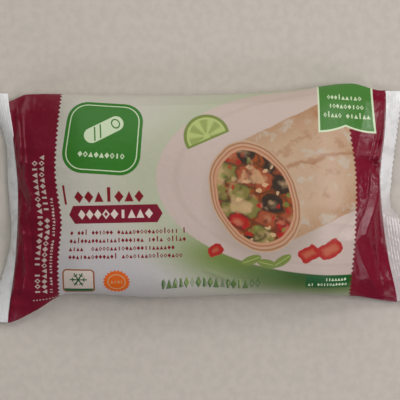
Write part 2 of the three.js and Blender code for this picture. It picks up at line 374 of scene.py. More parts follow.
@dataclass
class FrontFolds:
    """Everything that stands up from the smooth front film, or is pressed into it.

    Film is gathered in pleats and crushed towards the seals, except where the flap pulls it taut.
    It is tightly crushed in a patch beside the flap, and elsewhere it has slack waves, with small
    creases along its sides.
    """

    weld_width: float = 1.2
    side_fall: float = 10
    flap: FoldOver = FoldOver(
        edge=(
            (79.6, 13.5),
            (78.7, 10.8),
            (77.7, -0.6),
            (75.6, -7.0),
            (73.1, -12.7),
            (71.5, -18.4),
            (71.6, -20.9),
        ),
        profile=((-0.3, 0), (0.3, 0.8), (1, 0.9), (4.5, 0.7), (9, 0)),
        fade=(0.1, 0.12),
    )
    brow: FoldOver = FoldOver(
        edge=(
            (84.2, 13.5),
            (83.7, 10.8),
            (83.0, 0.8),
            (80.5, -7.0),
            (76.3, -18.4),
            (72.0, -20.9),
            (72.6, -24.0),
            (75.6, -31.9),
            (78.4, -38.3),
            (82.6, -45.4),
            (87.2, -49.2),
        ),
        profile=(
            (-8.5, 0),
            (-5.5, 0.6),
            (-3.5, 1.5),
            (-2, 2.4),
            (-0.5, 3.45),
            (0.2, 3.75),
            (0.9, 3.5),
            (7.5, 0),
        ),
        fade=(0.08, 0.12),
        taper=0.62,
    )
    roll: FoldOver = FoldOver(
        edge=((86.4, 46), (84.4, 38), (83.0, 32.8), (81.6, 26), (80.2, 20), (78.4, 14.3)),
        profile=(
            (-8, 0),
            (-1, 1.2),
            (-0.3, 1.7),
            (0, 1.8),
            (0.6, 1.8),
            (1.5, 2.2),
            (2.4, 3.0),
            (3.2, 3.9),
            (3.8, 3.6),
            (6, 0),
        ),
        fade=(0.25, 0.12),
    )
    taut_share: float = 0.85
    taut_from: Point = (72, 75)
    taut_near: Point = (-24, -18)
    taut_far: Point = (8, 14)
    pleat_pitch: float = 11
    pleat_height: float = 1.0
    pleat_reach: float = 12
    pleat_sway: float = 3.5
    pleat_sway_rate: float = 0.19
    pleat_sway_slant: float = 3
    crush_left: float = 0.8
    crush_right: float = 0.4
    crush_reach: float = 10
    crush_pitch: float = 7
    patch_middle: Point = (74.2, 1)
    patch_slant: float = 0.09
    patch_half: Point = (2.0, 10)
    patch_height: float = 1.3
    patch_pitch: float = 3.4
    slack_waves: tuple[tuple[float, float, int], ...] = ((0.5, 34, 3), (0.22, 15, 4))
    side_zone: Point = (0.62, 0.92)
    side_height: float = 0.35
    side_pitch: float = 9
    side_crease_share: float = 0.6
    side_crease_pitch: float = 12
    creases: tuple[Crease, ...] = (
        Crease(((80.0, -9), (81.2, -22), (83.2, -37)), 0.9, 0.55),
        Crease(((82.5, -4), (83.6, -14), (86.0, -27)), 0.8, 0.6),
        Crease(((77.6, -18), (80.2, -28), (84.6, -43)), 0.6, 0.6),
        Crease(((79.0, -16), (81.6, -30), (86, -46)), -0.6, 0.6),
        Crease(((70.0, -27), (73.4, -38)), 0.35, 0.7),
        Crease(((70.5, -42), (78, -38)), 0.4, 0.9),
        Crease(((86.3, 45), (85.0, 30), (82.2, 17)), 0.6, 0.55),
        Crease(((85.2, 42), (84.1, 30), (81.4, 19)), -0.5, 0.5),
        Crease(((86.2, 38), (85.6, 28), (83.8, 18)), -0.4, 0.45),
        Crease(((83.4, 15.5), (80.4, 13.2)), -1.5, 1.0),
        Crease(((82.2, 13.4), (80.3, 8.2)), 0.7, 0.7),
        Crease(((-86, 44), (-83.8, 26), (-82.9, 10)), 0.9, 0.8),
        Crease(((-83.4, 42), (-80.8, 18), (-81.4, 2)), 0.8, 0.9),
        Crease(((-82, 34), (-79.4, 10)), -0.5, 0.9),
        Crease(((-81.8, 9), (-76.6, -4)), 0.9, 0.8),
        Crease(((-83.4, 3), (-78.6, -8)), -1.2, 1.5),
        Crease(((-82.5, -8), (-64, -14)), 0.5, 2.2),
        Crease(((-82.6, -12), (-80.8, -34), (-84, -50)), 0.8, 0.9),
        Crease(((-78.8, -10), (-77, -32)), -0.4, 1.4),
        Crease(((-81, 47), (-84.6, 34)), 1.0, 1.0),
        Crease(((-80, -26), (-66, -34)), 0.35, 2.4),
        Crease(((-66, -40), (-80, -52)), 0.6, 1.6),
        Crease(((-77, 45.4), (-64, 43)), 0.5, 0.9),
        Crease(((-46, 40.6), (-10, 41.2), (30, 42.4), (60, 44)), 0.7, 1.2),
        Crease(((0, -33.5), (10, -37.5), (24, -44)), 0.55, 1.0),
        Crease(((12, -42.5), (25, -40.5)), 0.4, 0.9),
        Crease(((-12, -40), (-2, -44)), 0.35, 1.0),
        Crease(((-50, -41), (-44, -46)), 0.3, 1.2),
        Crease(((44, -42), (54, -45)), 0.3, 1.2),
    )

    def height_at(
        self, x: np.ndarray, y: np.ndarray, along: np.ndarray, across: np.ndarray
    ) -> np.ndarray:
        """Give the folds' height on the front film.

        Args:
            x: Places along the pack, in plan.
            y: Places across the pack, in plan.
            along: The same places as shares of the half length.
            across: And as shares of the half width.

        Returns:
            Heights to add to the smooth film.
        """
        from_seal = (1 - np.abs(along)) * SEAL_DISTANCE
        folds = sum(fold.height_at(x, y) for fold in (self.flap, self.brow, self.roll))
        creases = sum(crease.height_at(x, y) for crease in self.creases)
        gathered = self._pleats(y, along, from_seal) + self._crushed_ends(x, y, from_seal)
        relief = folds + creases + gathered * self._loose(x, y) + self._crushed_patch(x, y)
        relief = relief + self._soft(x, y, across)
        at_side = np.abs(across) ** self.side_fall
        return relief * ease(0, self.weld_width, from_seal) * (1 - at_side)

    def _loose(self, x: np.ndarray, y: np.ndarray) -> np.ndarray:
        """Give the share of the gathered film that is left, small where the flap pulls it taut."""
        taut = self.taut_share * ease(*self.taut_from, x)
        return 1 - taut * ease(*self.taut_near, y) * (1 - ease(*self.taut_far, y))

    def _pleats(self, y: np.ndarray, along: np.ndarray, from_seal: np.ndarray) -> np.ndarray:
        """Give the pleats that gather the film towards each seal.

        Args:
            y: Places across the pack, in plan.
            along: Places from -1 at the left seal to 1 at the right one.
            from_seal: The places' distances from the nearer seal.

        Returns:
            Heights to add to the smooth film.
        """
        sway = np.sin(y * self.pleat_sway_rate + along * self.pleat_sway_slant)
        uneven = y + self.pleat_sway * sway
        tent = 1 - np.abs(np.sin(math.pi * uneven / self.pleat_pitch + along))
        return self.pleat_height * tent * np.exp(-from_seal / self.pleat_reach)

    def _crushed_ends(self, x: np.ndarray, y: np.ndarray, from_seal: np.ndarray) -> np.ndarray:
        """Give the crushed film near the seals, rougher at the left one.

        Args:
            x: Places along the pack, in plan.
            y: Places across the pack, in plan.
            from_seal: The places' distances from the nearer seal.

        Returns:
            Heights to add to the smooth film.
        """
        depth = np.where(x > 0, self.crush_right, self.crush_left)
        near_seal = np.exp(-from_seal / self.crush_reach)
        return depth * near_seal * crumple(x, y, self.crush_pitch, seed=11)

    def _crushed_patch(self, x: np.ndarray, y: np.ndarray) -> np.ndarray:
        """Give the tightly crushed patch beside the folded flap.

        Args:
            x: Places along the pack, in plan.
            y: Places across the pack, in plan.

        Returns:
            Heights to add to the smooth film.
        """
        (middle_x, middle_y), (half_x, half_y) = self.patch_middle, self.patch_half
        out_x = (x - middle_x - self.patch_slant * y) / half_x
        out_y = (y - middle_y) / half_y
        inside = np.exp(-(out_x**2) - out_y**2)
        return self.patch_height * inside * crumple(x, y, self.patch_pitch, seed=5)

    def _soft(self, x: np.ndarray, y: np.ndarray, across: np.ndarray) -> np.ndarray:
        """Give the slack film's soft waves, more of them along the long sides.

        Args:
            x: Places along the pack, in plan.
            y: Places across the pack, in plan.
            across: Places from -1 at the near side to 1 at the far side.

        Returns:
            Heights to add to the smooth film.
        """
        broad = sum(height * rumple(x, y, pitch, seed) for height, pitch, seed in self.slack_waves)
        sides = ease(*self.side_zone, np.abs(across))
        creased = self.side_crease_share * crumple(x, y, self.side_crease_pitch, seed=2)
        rough = rumple(x, y, self.side_pitch, seed=8) + creased
        return broad + self.side_height * sides * rough


@dataclass
class FilmPiece:
    """A piece of film: a mesh with film coordinates, which stands for the pack's solid."""

    name: str
    shift: np.ndarray

    def build(
        self,
        points: np.ndarray,
        faces: np.ndarray,
        uv: np.ndarray,
        material: bpy.types.Material,
    ) -> bpy.types.Object:
        """Args:
            points: Vertices in plan millimetres, one row each.
            faces: Vertex numbers of each four-sided face.
            uv: Film coordinates of each corner of each face, in millimetres.
            material: The film's finish.

        Returns:
            The new object.
        """
        mesh = bpy.data.meshes.new(self.name)
        mesh.from_pydata(((points + self.shift) * MILLIMETRE).tolist(), [], faces.tolist())
        layer = mesh.uv_layers.new(name="film")
        layer.data.foreach_set("uv", (uv * MILLIMETRE).astype(np.float32).ravel())
        mesh.polygons.foreach_set("use_smooth", np.ones(len(faces), dtype=bool))
        mesh.materials.append(material)
        mesh.update()
        piece = bpy.data.objects.new(self.name, mesh)
        bpy.context.scene.collection.objects.link(piece)
        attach(piece, "root")
        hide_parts(NODE)
        log.info("%s: %d faces", self.name, len(faces))
        return piece


def grid_faces(rows: int, columns: int) -> np.ndarray:
    """Number the four corners of every cell in a grid of points, row by row.

    Args:
        rows: Rows of points.
        columns: Points in a row.

    Returns:
        Vertex numbers of each four-sided face.
    """
    i, j = np.meshgrid(np.arange(rows - 1), np.arange(columns - 1), indexing="ij")
    first = (i * columns + j).ravel()
    return np.stack([first, first + columns, first + columns + 1, first + 1], axis=1)


def slab(
    sheet: tuple[np.ndarray, ...], film: tuple[np.ndarray, ...], lifts: Point, turned: bool = False
) -> tuple[np.ndarray, ...]:
    """Make a closed slab of film: a sheet of points, the same sheet above it, and the rim.

    Args:
        sheet: X, Y and Z of a grid of points.
        film: Both film coordinates of those points.
        lifts: How far the lower and the upper sheet lie above the grid.
        turned: Whether the grid runs the other way round, so that its faces have to be turned.

    Returns:
        The points, the faces, and the film coordinates of each corner of each face.
    """
    x, y, z = sheet
    cells = grid_faces(*x.shape)
    number = np.arange(x.size).reshape(x.shape)
    edges = (number[:, 0], number[::-1, -1], number[0, ::-1], number[-1, :])
    pairs = [(edge[:-1], edge[1:]) for edge in edges]
    rim = [np.stack([a, b, b + x.size, a + x.size], axis=1) for a, b in pairs]
    faces = np.concatenate([cells[:, ::-1], cells + x.size, *rim])
    faces = faces[:, ::-1] if turned else faces
    points = [np.stack([x, y, z + lift], axis=-1).reshape(-1, 3) for lift in lifts]
    uv = np.stack(film, axis=-1).reshape(-1, 2)
    return np.concatenate(points), faces, np.concatenate([uv, uv])[faces]


@dataclass
class FilmTube:
    """The printed film round the burrito, from one end seal to the other."""

    shape: FilmShape
    folds: FrontFolds
    shift: np.ndarray
    seam_y: float = -7
    seam_width: float = 12
    seam_recess: float = 0.55
    trough_slope: float = 2.5
    end_zone: float = 0.3
    end_rows: int = 96
    middle_rows: int = 120
    front_columns: int = 190
    back_columns: int = 40
    samples: int = 4001
    half_slit: float = 0.005
    left_zigzag: Curve = Curve(
        (
            (-46, -65.4),
            (-30, -65.2),
            (-12.5, -63.6),
            (5, -65.9),
            (14, -66.4),
            (30, -65.6),
            (47, -64.2),
        )
    )
    right_zigzag: Curve = Curve(
        ((-47, 69.4), (-32, 70.4), (-19, 71.3), (0, 71.9), (14, 71.3), (29, 69.1), (47, 68))
    )
    left_band: float = -65
    left_band_pull: Point = (-62, -38)
    right_band: float = 70.6
    right_band_pull: Point = (50, 68)

    def build(self, material: bpy.types.Material) -> bpy.types.Object:
        """Build the tube.

        Args:
            material: The printed film.

        Returns:
            The tube's object.
        """
        alongs, columns = self._rows(), self._columns()
        along, across = np.meshgrid(alongs, [c for c, _ in columns], indexing="ij")
        front = np.broadcast_to([f for _, f in columns], along.shape)
        x, y = self.shape.plan(along, across)
        z = np.where(front, self._front(x, y, along, across), self._back(y, along, across))
        girth = self._girth(along, across, front)
        faces = grid_faces(*along.shape)
        film = np.stack([self._unwarped(x, y), girth], axis=-1).reshape(-1, 2)
        piece = FilmPiece("film_tube", self.shift)
        points = np.stack([x, y, z], axis=-1).reshape(-1, 3)
        return piece.build(points, faces, film[faces], material)

    def girth_at(self, x: float, y: float) -> float:
        """Give the film's girth coordinate of a place on the front, seen in plan.

        Args:
            x: The place's X.
            y: And its Y.

        Returns:
            The V coordinate, positive on the far half.
        """
        across = np.linspace(0, 1, self.samples // 2 + 1) * math.copysign(1, y)
        along = np.full(across.shape, x / SEAL_DISTANCE)
        _, ys = self.shape.plan(along, across)
        zs = self.shape.front_height(along, across)
        walked = walk(np.hypot(np.diff(ys), np.diff(zs)))
        return math.copysign(float(np.interp(abs(y), np.abs(ys), walked)), y)

    def _rows(self) -> np.ndarray:
        """Give places along the pack, close together at its ends.

        Returns:
            Places from -1 at the left seal to 1 at the right one.
        """
        middle = 1 - self.end_zone
        end = np.linspace(middle, 1, self.end_rows + 1)
        inner = np.linspace(-middle, middle, self.middle_rows + 1)[1:-1]
        return np.concatenate([-end[::-1], inner, end])

    def _columns(self) -> list[tuple[float, bool]]:
        """Give (place across, on the front) round the film, from its back seam and back to it.

        Returns:
            Each place from -1 to 1, and whether it is on the front.
        """
        fine = -np.cos(np.linspace(0, math.pi, self.samples))
        zero = np.zeros(fine.shape)
        over = self._even(fine, self.shape.front_height(zero, fine), self.front_columns)
        front = [(float(c), True) for c in over]
        seam = self.seam_y / float(self.shape.near_side.at(np.array(0.0)))
        back = self._even(fine, self.shape.back_height(zero, fine), self.back_columns * 2)
        near = [(float(c), False) for c in back[::-1] if -1 < c < seam - self.half_slit]
        far = [(float(c), False) for c in back[::-1] if seam + self.half_slit < c < 1]
        return [(seam, False), *near, *front, *far, (seam, False)]

    def _even(self, across: np.ndarray, height: np.ndarray, count: int) -> np.ndarray:
        """Space places evenly along a cross-section.

        Args:
            across: Closely spaced places across.
            height: Their heights.
            count: The number of spaces.

        Returns:
            The evenly spaced places.
        """
        width = float(self.shape.far_side.at(np.array(0.0)))
        walked = walk(np.hypot(np.diff(across) * width, np.diff(height)))
        return np.interp(np.linspace(0, walked[-1], count + 1), walked, across)

    def _front(
        self, x: np.ndarray, y: np.ndarray, along: np.ndarray, across: np.ndarray
    ) -> np.ndarray:
        """Give the front's height with its folds."""
        smooth = self.shape.front_height(along, across)
        return smooth + self.folds.height_at(x, y, along, across)

    def _back(self, y: np.ndarray, along: np.ndarray, across: np.ndarray) -> np.ndarray:
        """Give the back's height with the trough that the seam lies in.

        Args:
            y: Places across the pack, in plan.
            along: Places from -1 at the left seal to 1 at the right one.
            across: Places from -1 at the near side to 1 at the far side.

        Returns:
            The heights.
        """
        near = self.seam_y - self.seam_width / 2
        far = self.seam_y + self.seam_width / 2
        inside = ease(near - self.trough_slope, near, y) - ease(far, far + self.trough_slope, y)
        return np.maximum(self.shape.back_height(along, across), self.seam_recess * inside)

    def _girth(self, along: np.ndarray, across: np.ndarray, front: np.ndarray) -> np.ndarray:
        """Measure each row round the smooth film, from 0 on the front's centre line.

        Args:
            along: Places from -1 at the left seal to 1 at the right one.
            across: Places from -1 at the near side to 1 at the far side.
            front: Whether each place is on the front.

        Returns:
            The V coordinates.
        """
        _, y = self.shape.plan(along, across)
        smooth = np.where(
            front, self.shape.front_height(along, across), self.shape.back_height(along, across)
        )
        walked = walk(np.hypot(np.diff(y, axis=1), np.diff(smooth, axis=1)))
        middle = [np.interp(0, r[f], w[f]) for r, w, f in zip(across, walked, front)]
        return walked - np.array(middle)[:, None]

    def _unwarped(self, x: np.ndarray, y: np.ndarray) -> np.ndarray:
        """Turn X into the film's own length coordinate, in which the print's edges are straight.

        Args:
            x: Places along the pack, in plan.
            y: Places across the pack, in plan.

        Returns:
            The U coordinates.
        """
        pull = 1 - ease(*self.left_band_pull, x)
        left = (self.left_zigzag.at(y) - self.left_band) * pull
        pull = ease(*self.right_band_pull, x)
        right = (self.right_zigzag.at(y) - self.right_band) * pull
        return x - left - right


@dataclass
class EndFin:
    """The free fin of an end seal: unprinted, crimped, wavy and cut to a zigzag.

    It reaches its near and far widths from the pack's middle line, and its lift gives the height of
    its cut edge. The end is -1 for the left fin and 1 for the right one.
    """

    shape: FilmShape
    shift: np.ndarray
    end: int
    near: float
    far: float
    lift: Curve
    length: float = 8.5
    root: float = 0.3
    thickness: float = 0.2
    tooth_pitch: float = 2.6
    tooth_depth: float = 1.1
    crimp_pitch: float = 1.35
    crimp_height: float = 0.05
    crimp_rise: Point = (0.3, 1.2)
    crimp_fall: Point = (1.6, 1)
    steepest: float = 0.97
    curl_at_weld: float = 0.75
    curl_gain: float = 0.5
    table_gap: float = 0.1
    film_start: float = 90
    rows: int = 34
    columns_per_tooth: int = 8

    def build(self, material: bpy.types.Material) -> bpy.types.Object:
        """Build the fin.

        Args:
            material: The welded film.

        Returns:
            The fin's object.
        """
        teeth = round((self.near + self.far) / self.tooth_pitch)
        across, share = np.meshgrid(
            np.linspace(-1, 1, teeth * self.columns_per_tooth + 1),
            np.linspace(-self.root / self.length, 1, self.rows + 1),
            indexing="ij",
        )
        tooth = np.abs((across + 1) / 2 * teeth % 1 * 2 - 1)
        trimmed = self.length - self.tooth_depth * tooth
        out = np.where(share > 0, share * trimmed, share * self.length)
        x, y, z = self._sheet(across, out)
        crimp = self.crimp_height * np.sin(2 * math.pi * out / self.crimp_pitch)
        fall_from, fall_to = (self.length - gap for gap in self.crimp_fall)
        z = z + crimp * ease(*self.crimp_rise, out) * (1 - ease(fall_from, fall_to, out))
        half = self.thickness / 2
        film = (self.end * (self.film_start + out), y)
        name, turned = ("right_fin", True) if self.end > 0 else ("left_fin", False)
        mesh = slab((x, y, z), film, (-half, half), turned)
        return FilmPiece(name, self.shift).build(*mesh, material)

    def _sheet(self, across: np.ndarray, out: np.ndarray) -> tuple[np.ndarray, ...]:
        """Place the fin's middle surface, which bends down towards the table from the weld.

        Args:
            across: Places from -1 at the near ear to 1 at the far one.
            out: Distances from the weld, negative inside the tube.

        Returns:
            X, Y and Z.
        """
        seal = self.shape.right_seal if self.end > 0 else self.shape.left_seal
        weld = self.shape.meeting_height(np.full(across.shape, float(self.end)), across)
        drop = (weld - self.lift.at(across)) / self.length
        down = np.arcsin(np.clip(drop, -self.steepest, self.steepest))
        free = np.maximum(0, out)
        curl = down * (self.curl_at_weld + self.curl_gain * free / self.length)
        reach = free * np.cos(curl) + np.minimum(0, out)
        x = self.end * (seal.at(across) + reach)
        y = across * np.where(across > 0, self.far, self.near)
        z = weld - free * np.sin(curl)
        return x, y, np.maximum(z, self.thickness / 2 + self.table_gap)


# How high the fins' cut edges are above the table, from the near ear at -1 to the far one at 1
LEFT_LIFT = Curve(((-1, 1.5), (-0.4, 0.9), (0.2, 1.6), (0.7, 0.9), (1, 2.2)))
RIGHT_LIFT = Curve(
    (
        (-1, 1.5),
        (-0.8, 4.4),
        (-0.5, 5.8),
        (-0.22, 6.2),
        (-0.12, 2.4),
        (0.15, 2.6),
        (0.5, 1.8),
        (1, 1.6),
    )
)


@dataclass
class BackSeam:
    """The seam along the back, folded flat in its trough."""

    tube: FilmTube
    reach: float = 0.94
    side_gap: float = 0.4
    thickness: float = 0.35
    film_middle: float = -104
    rows: int = 120
    columns: int = 24
    crimp_pitch: float = 2.0
    crimp_height: float = 0.05

    def build(self, material: bpy.types.Material) -> bpy.types.Object:
        """Build the seam.

        Args:
            material: The printed film.

        Returns:
            The seam's object.
        """
        width = self.tube.seam_width - 2 * self.side_gap
        alongs = np.linspace(-self.reach, self.reach, self.rows + 1)
        places = self.tube.seam_y + width * np.linspace(-0.5, 0.5, self.columns + 1)
        along, y = np.meshgrid(alongs, places, indexing="ij")
        across = y / self.tube.shape.near_side.at(along * self.tube.shape.half_length)
        x, y = self.tube.shape.plan(along, across)
        rib = self.crimp_height * np.sin(2 * math.pi * x / self.crimp_pitch)
        low = self.tube.shape.back_height(along, across) + self.crimp_height + rib
        mesh = slab((x, y, low), (x, y + self.film_middle), (0, self.thickness))
        return FilmPiece("back_seam", self.tube.shift).build(*mesh, material)


class Kind(Enum):
    """Kinds of value that go in and out of a node group."""

    NUMBER = "NodeSocketFloat"
    COLOUR = "NodeSocketColor"


def numbers(*names: str) -> list[tuple[str, Kind]]:
    """Describe sockets that carry numbers."""
    return [(name, Kind.NUMBER) for name in names]


@dataclass(frozen=True)
class Field:
    """A number that changes over the film, as the output of a node."""

    tree: bpy.types.NodeTree
    socket: bpy.types.NodeSocket

    def __add__(self, other: "Field | float") -> "Field":
        """Add."""
        return combine(self.tree, "ADD", self, other)

    def __sub__(self, other: "Field | float") -> "Field":
        """Subtract."""
        return combine(self.tree, "SUBTRACT", self, other)

    def __rsub__(self, other: float) -> "Field":
        """Subtract from a plain number."""
        return combine(self.tree, "SUBTRACT", other, self)

    def __mul__(self, other: "Field | float") -> "Field":
        """Multiply."""
        return combine(self.tree, "MULTIPLY", self, other)

    def __truediv__(self, other: "Field | float") -> "Field":
        """Divide."""
        return combine(self.tree, "DIVIDE", self, other)

    def __abs__(self) -> "Field":
        """Drop the sign."""
        return combine(self.tree, "ABSOLUTE", self)

    def floor(self) -> "Field":
        """Take the whole number below."""
        return combine(self.tree, "FLOOR", self)

    def fraction(self) -> "Field":
        """Take what is above the whole number below."""
        return combine(self.tree, "FRACT", self)

    def sine(self) -> "Field":
        """Take the sine of an angle in radians."""
        return combine(self.tree, "SINE", self)

    def cosine(self) -> "Field":
        """Take the cosine of an angle in radians."""
        return combine(self.tree, "COSINE", self)

    def least(self, other: "Field | float") -> "Field":
        """Take the smaller."""
        return combine(self.tree, "MINIMUM", self, other)

    def most(self, other: "Field | float") -> "Field":
        """Take the larger."""
        return combine(self.tree, "MAXIMUM", self, other)

    def below(self, limit: float, blur: float = 0.2) -> "Field":
        """Give 1 where the field is below a limit and 0 above, blurred across the limit."""
        return self.ramp(limit + blur / 2, limit - blur / 2)

    def above(self, limit: float, blur: float = 0.2) -> "Field":
        """Give 1 where the field is above a limit and 0 below, blurred across the limit."""
        return self.below(limit, -blur)

    def between(self, low: float, high: float, blur: float = 0.2) -> "Field":
        """Give 1 where the field is between two limits."""
        return self.above(low, blur) * self.below(high, blur)

    def chance(self) -> "Field":
        """Give a random value from 0 to 1 that depends on this one.

        Returns:
            The random value.
        """
        node = self.tree.nodes.new("ShaderNodeTexWhiteNoise")
        node.noise_dimensions = "1D"
        self.tree.links.new(self.socket, node.inputs["W"])
        return Field(self.tree, node.outputs["Value"])

    def ramp(self, low: float, high: float) -> "Field":
        """Rise smoothly from 0 at low to 1 at high, which may be the smaller of the two.

        Args:
            low: Where the rise starts.
            high: Where it ends.

        Returns:
            The risen field.
        """
        node = self.tree.nodes.new("ShaderNodeMapRange")
        node.interpolation_type = "SMOOTHSTEP"
        node.clamp = False
        self.tree.links.new(self.socket, node.inputs["Value"])
        node.inputs["From Min"].default_value = low
        node.inputs["From Max"].default_value = high
        return Field(self.tree, node.outputs["Result"])


def feed(tree: bpy.types.NodeTree, place: bpy.types.NodeSocket, value: Field | float) -> None:
    """Connect a field to an input, or set the input to a plain number.

    Args:
        tree: The tree that the input is in.
        place: The input.
        value: What goes into it.
    """
    if isinstance(value, Field):
        tree.links.new(value.socket, place)
    else:
        place.default_value = value


def combine(tree: bpy.types.NodeTree, operation: str, *operands: Field | float) -> Field:
    """Add a Math node.

    Args:
        tree: The tree it goes in.
        operation: Its operation.
        operands: Its inputs, as fields or plain numbers.

    Returns:
        Its result.
    """
    node = tree.nodes.new("ShaderNodeMath")
    node.operation = operation
    for place, operand in zip(node.inputs, operands):
        feed(tree, place, operand)
    return Field(tree, node.outputs[0])


@dataclass(frozen=True)
class Spot:
    """Film coordinates measured from a chosen place on the film."""

    u: Field
    v: Field

    def at(self, u: float, v: float, turn: float = 0) -> "Spot":
        """Move the origin to (u, v) and turn the axes by degrees.

        Args:
            u: The new origin's U.
            v: Its V.
            turn: The turn, anticlockwise.

        Returns:
            Coordinates from the new origin.
        """
        du, dv = self.u - u, self.v - v
        if not turn:
            return Spot(du, dv)
        c, s = math.cos(math.radians(turn)), math.sin(math.radians(turn))
        return Spot(du * c + dv * s, dv * c - du * s)

    def radius(self, half_u: float = 1, half_v: float = 1) -> Field:
        """Give the distance from the origin, as a share of an ellipse's two half widths."""
        a, b = self.u / half_u, self.v / half_v
        return combine(self.u.tree, "SQRT", a * a + b * b)

    def angle(self) -> Field:
        """Give the direction from the origin, in radians."""
        return combine(self.u.tree, "ARCTAN2", self.v, self.u)

    def box(self, half_u: float, half_v: float, corner: float = 0.0) -> Field:
        """Give the distance outside a box with round corners, negative inside it.

        Args:
            half_u: Half its length.
            half_v: Half its width.
            corner: Its corners' radius.

        Returns:
            The distance.
        """
        a, b = abs(self.u) - (half_u - corner), abs(self.v) - (half_v - corner)
        outside = Spot(a.most(0.0), b.most(0.0)).radius()
        return outside + a.most(b).least(0.0) - corner


@dataclass
class NodeGroup:
    """A shader node group under construction, with named inputs and outputs."""

    name: str
    inputs: Sequence[tuple[str, Kind]]
    outputs: Sequence[tuple[str, Kind]]
    tree: bpy.types.ShaderNodeTree = field(init=False)
    source: bpy.types.Node = field(init=False)
    sink: bpy.types.Node = field(init=False)

    def __post_init__(self) -> None:
        """Make the empty group."""
        self.tree = bpy.data.node_groups.new(self.name, "ShaderNodeTree")
        for direction, sockets in (("INPUT", self.inputs), ("OUTPUT", self.outputs)):
            for name, kind in sockets:
                self.tree.interface.new_socket(name, in_out=direction, socket_type=kind.value)
        self.source = self.tree.nodes.new("NodeGroupInput")
        self.sink = self.tree.nodes.new("NodeGroupOutput")

    def read(self, name: str) -> Field:
        """Give an input as a field."""
        return Field(self.tree, self.source.outputs[name])

    def write(self, name: str, socket: bpy.types.NodeSocket) -> None:
        """Connect an output."""
        self.tree.links.new(socket, self.sink.inputs[name])


def place_group(
    tree: bpy.types.NodeTree, group: NodeGroup, **values: Field | float
) -> bpy.types.Node:
    """Place a node group in a tree.

    Args:
        tree: The tree it goes in.
        group: The group.
        values: What goes into its inputs, by name.

    Returns:
        The group's node.
    """
    node = tree.nodes.new("ShaderNodeGroup")
    node.node_tree = group.tree
    for name, value in values.items():
        feed(tree, node.inputs[name], value)
    return node


@dataclass(frozen=True)
class Inks:
    """The print's colours as the photograph shows them, and a cream with a painted sheen."""

    cream: Colour = ink(165, 162, 151)
    # Cream with a painted bluish sheen: the near lamp's reflection on the near side, painted as
    # colour
    cream_painted_sheen: Colour = ink(168, 163, 166)
    wash_pale: Colour = ink(148, 153, 126)
    wash: Colour = ink(104, 119, 66)
    wash_deep: Colour = ink(46, 74, 40)
    plate: Colour = ink(167, 152, 143)
    plate_shade: Colour = ink(146, 132, 120)
    tortilla: Colour = ink(164, 140, 117)
    tortilla_shade: Colour = ink(146, 112, 84)
    toast: Colour = ink(132, 84, 54)
    bean: Colour = ink(134, 72, 52)
    bean_pale: Colour = ink(168, 110, 82)
    pepper_red: Colour = ink(146, 46, 43)
    pepper_dark: Colour = ink(58, 50, 44)
    pepper_green: Colour = ink(110, 102, 60)
    cheese: Colour = ink(182, 150, 114)
    sauce: Colour = ink(132, 70, 42)
    leaf: Colour = ink(104, 116, 62)
    leaf_pale: Colour = ink(150, 160, 100)
    badge: Colour = ink(54, 102, 45)
    label: Colour = ink(70, 110, 58)
    label_edge: Colour = ink(178, 190, 160)
    crimson: Colour = ink(105, 32, 50)
    orange: Colour = ink(196, 92, 40)
    words: Colour = ink(108, 34, 44)
    green_words: Colour = ink(38, 80, 50)
    pale_words: Colour = ink(184, 172, 162)
    plain_film: Colour = ink(198, 198, 197)


@dataclass
class Palette:
    """Colours laid over each other on the film, one mask at a time."""

    tree: bpy.types.NodeTree
    colour: bpy.types.NodeSocket

    def lay(self, ink_colour: Sequence[float] | bpy.types.NodeSocket, mask: Field) -> None:
        """Lay a colour over what is there.

        Args:
            ink_colour: The colour, or a socket that gives it.
            mask: Where it goes.
        """
        node = self.tree.nodes.new("ShaderNodeMix")
        node.data_type = "RGBA"
        self.tree.links.new(mask.socket, node.inputs["Factor"])
        self.tree.links.new(self.colour, node.inputs["A"])
        if isinstance(ink_colour, bpy.types.NodeSocket):
            self.tree.links.new(ink_colour, node.inputs["B"])
        else:
            node.inputs["B"].default_value = tuple(ink_colour)
        self.colour = node.outputs["Result"]


def flat_texture(kind: str, u: Field, v: Field) -> bpy.types.Node:
    """Add a texture node that is read at (u, v), with features about 1 apart.

    Args:
        kind: The kind of texture node.
        u: Where to read it.
        v: And the other way.

    Returns:
        The node.
    """
    place = u.tree.nodes.new("ShaderNodeCombineXYZ")
    u.tree.links.new(u.socket, place.inputs["X"])
    u.tree.links.new(v.socket, place.inputs["Y"])
    node = u.tree.nodes.new(kind)
    node.inputs["Scale"].default_value = 1.0
    u.tree.links.new(place.outputs[0], node.inputs["Vector"])
    return node


def noise_group() -> NodeGroup:
    """Make the group for soft random values over a surface.

    Returns:
        A group that turns a place, a pitch and a level of detail into a value from 0 to 1.
    """
    names = ("U", "V", "Pitch", "Detail")
    group = NodeGroup("Flat noise", numbers(*names), numbers("Value"))
    u, v, pitch, detail = (group.read(name) for name in names)
    node = flat_texture("ShaderNodeTexNoise", u / pitch, v / pitch)
    node.noise_dimensions = "2D"
    group.tree.links.new(detail.socket, node.inputs["Detail"])
    group.write("Value", node.outputs[0])
    return group


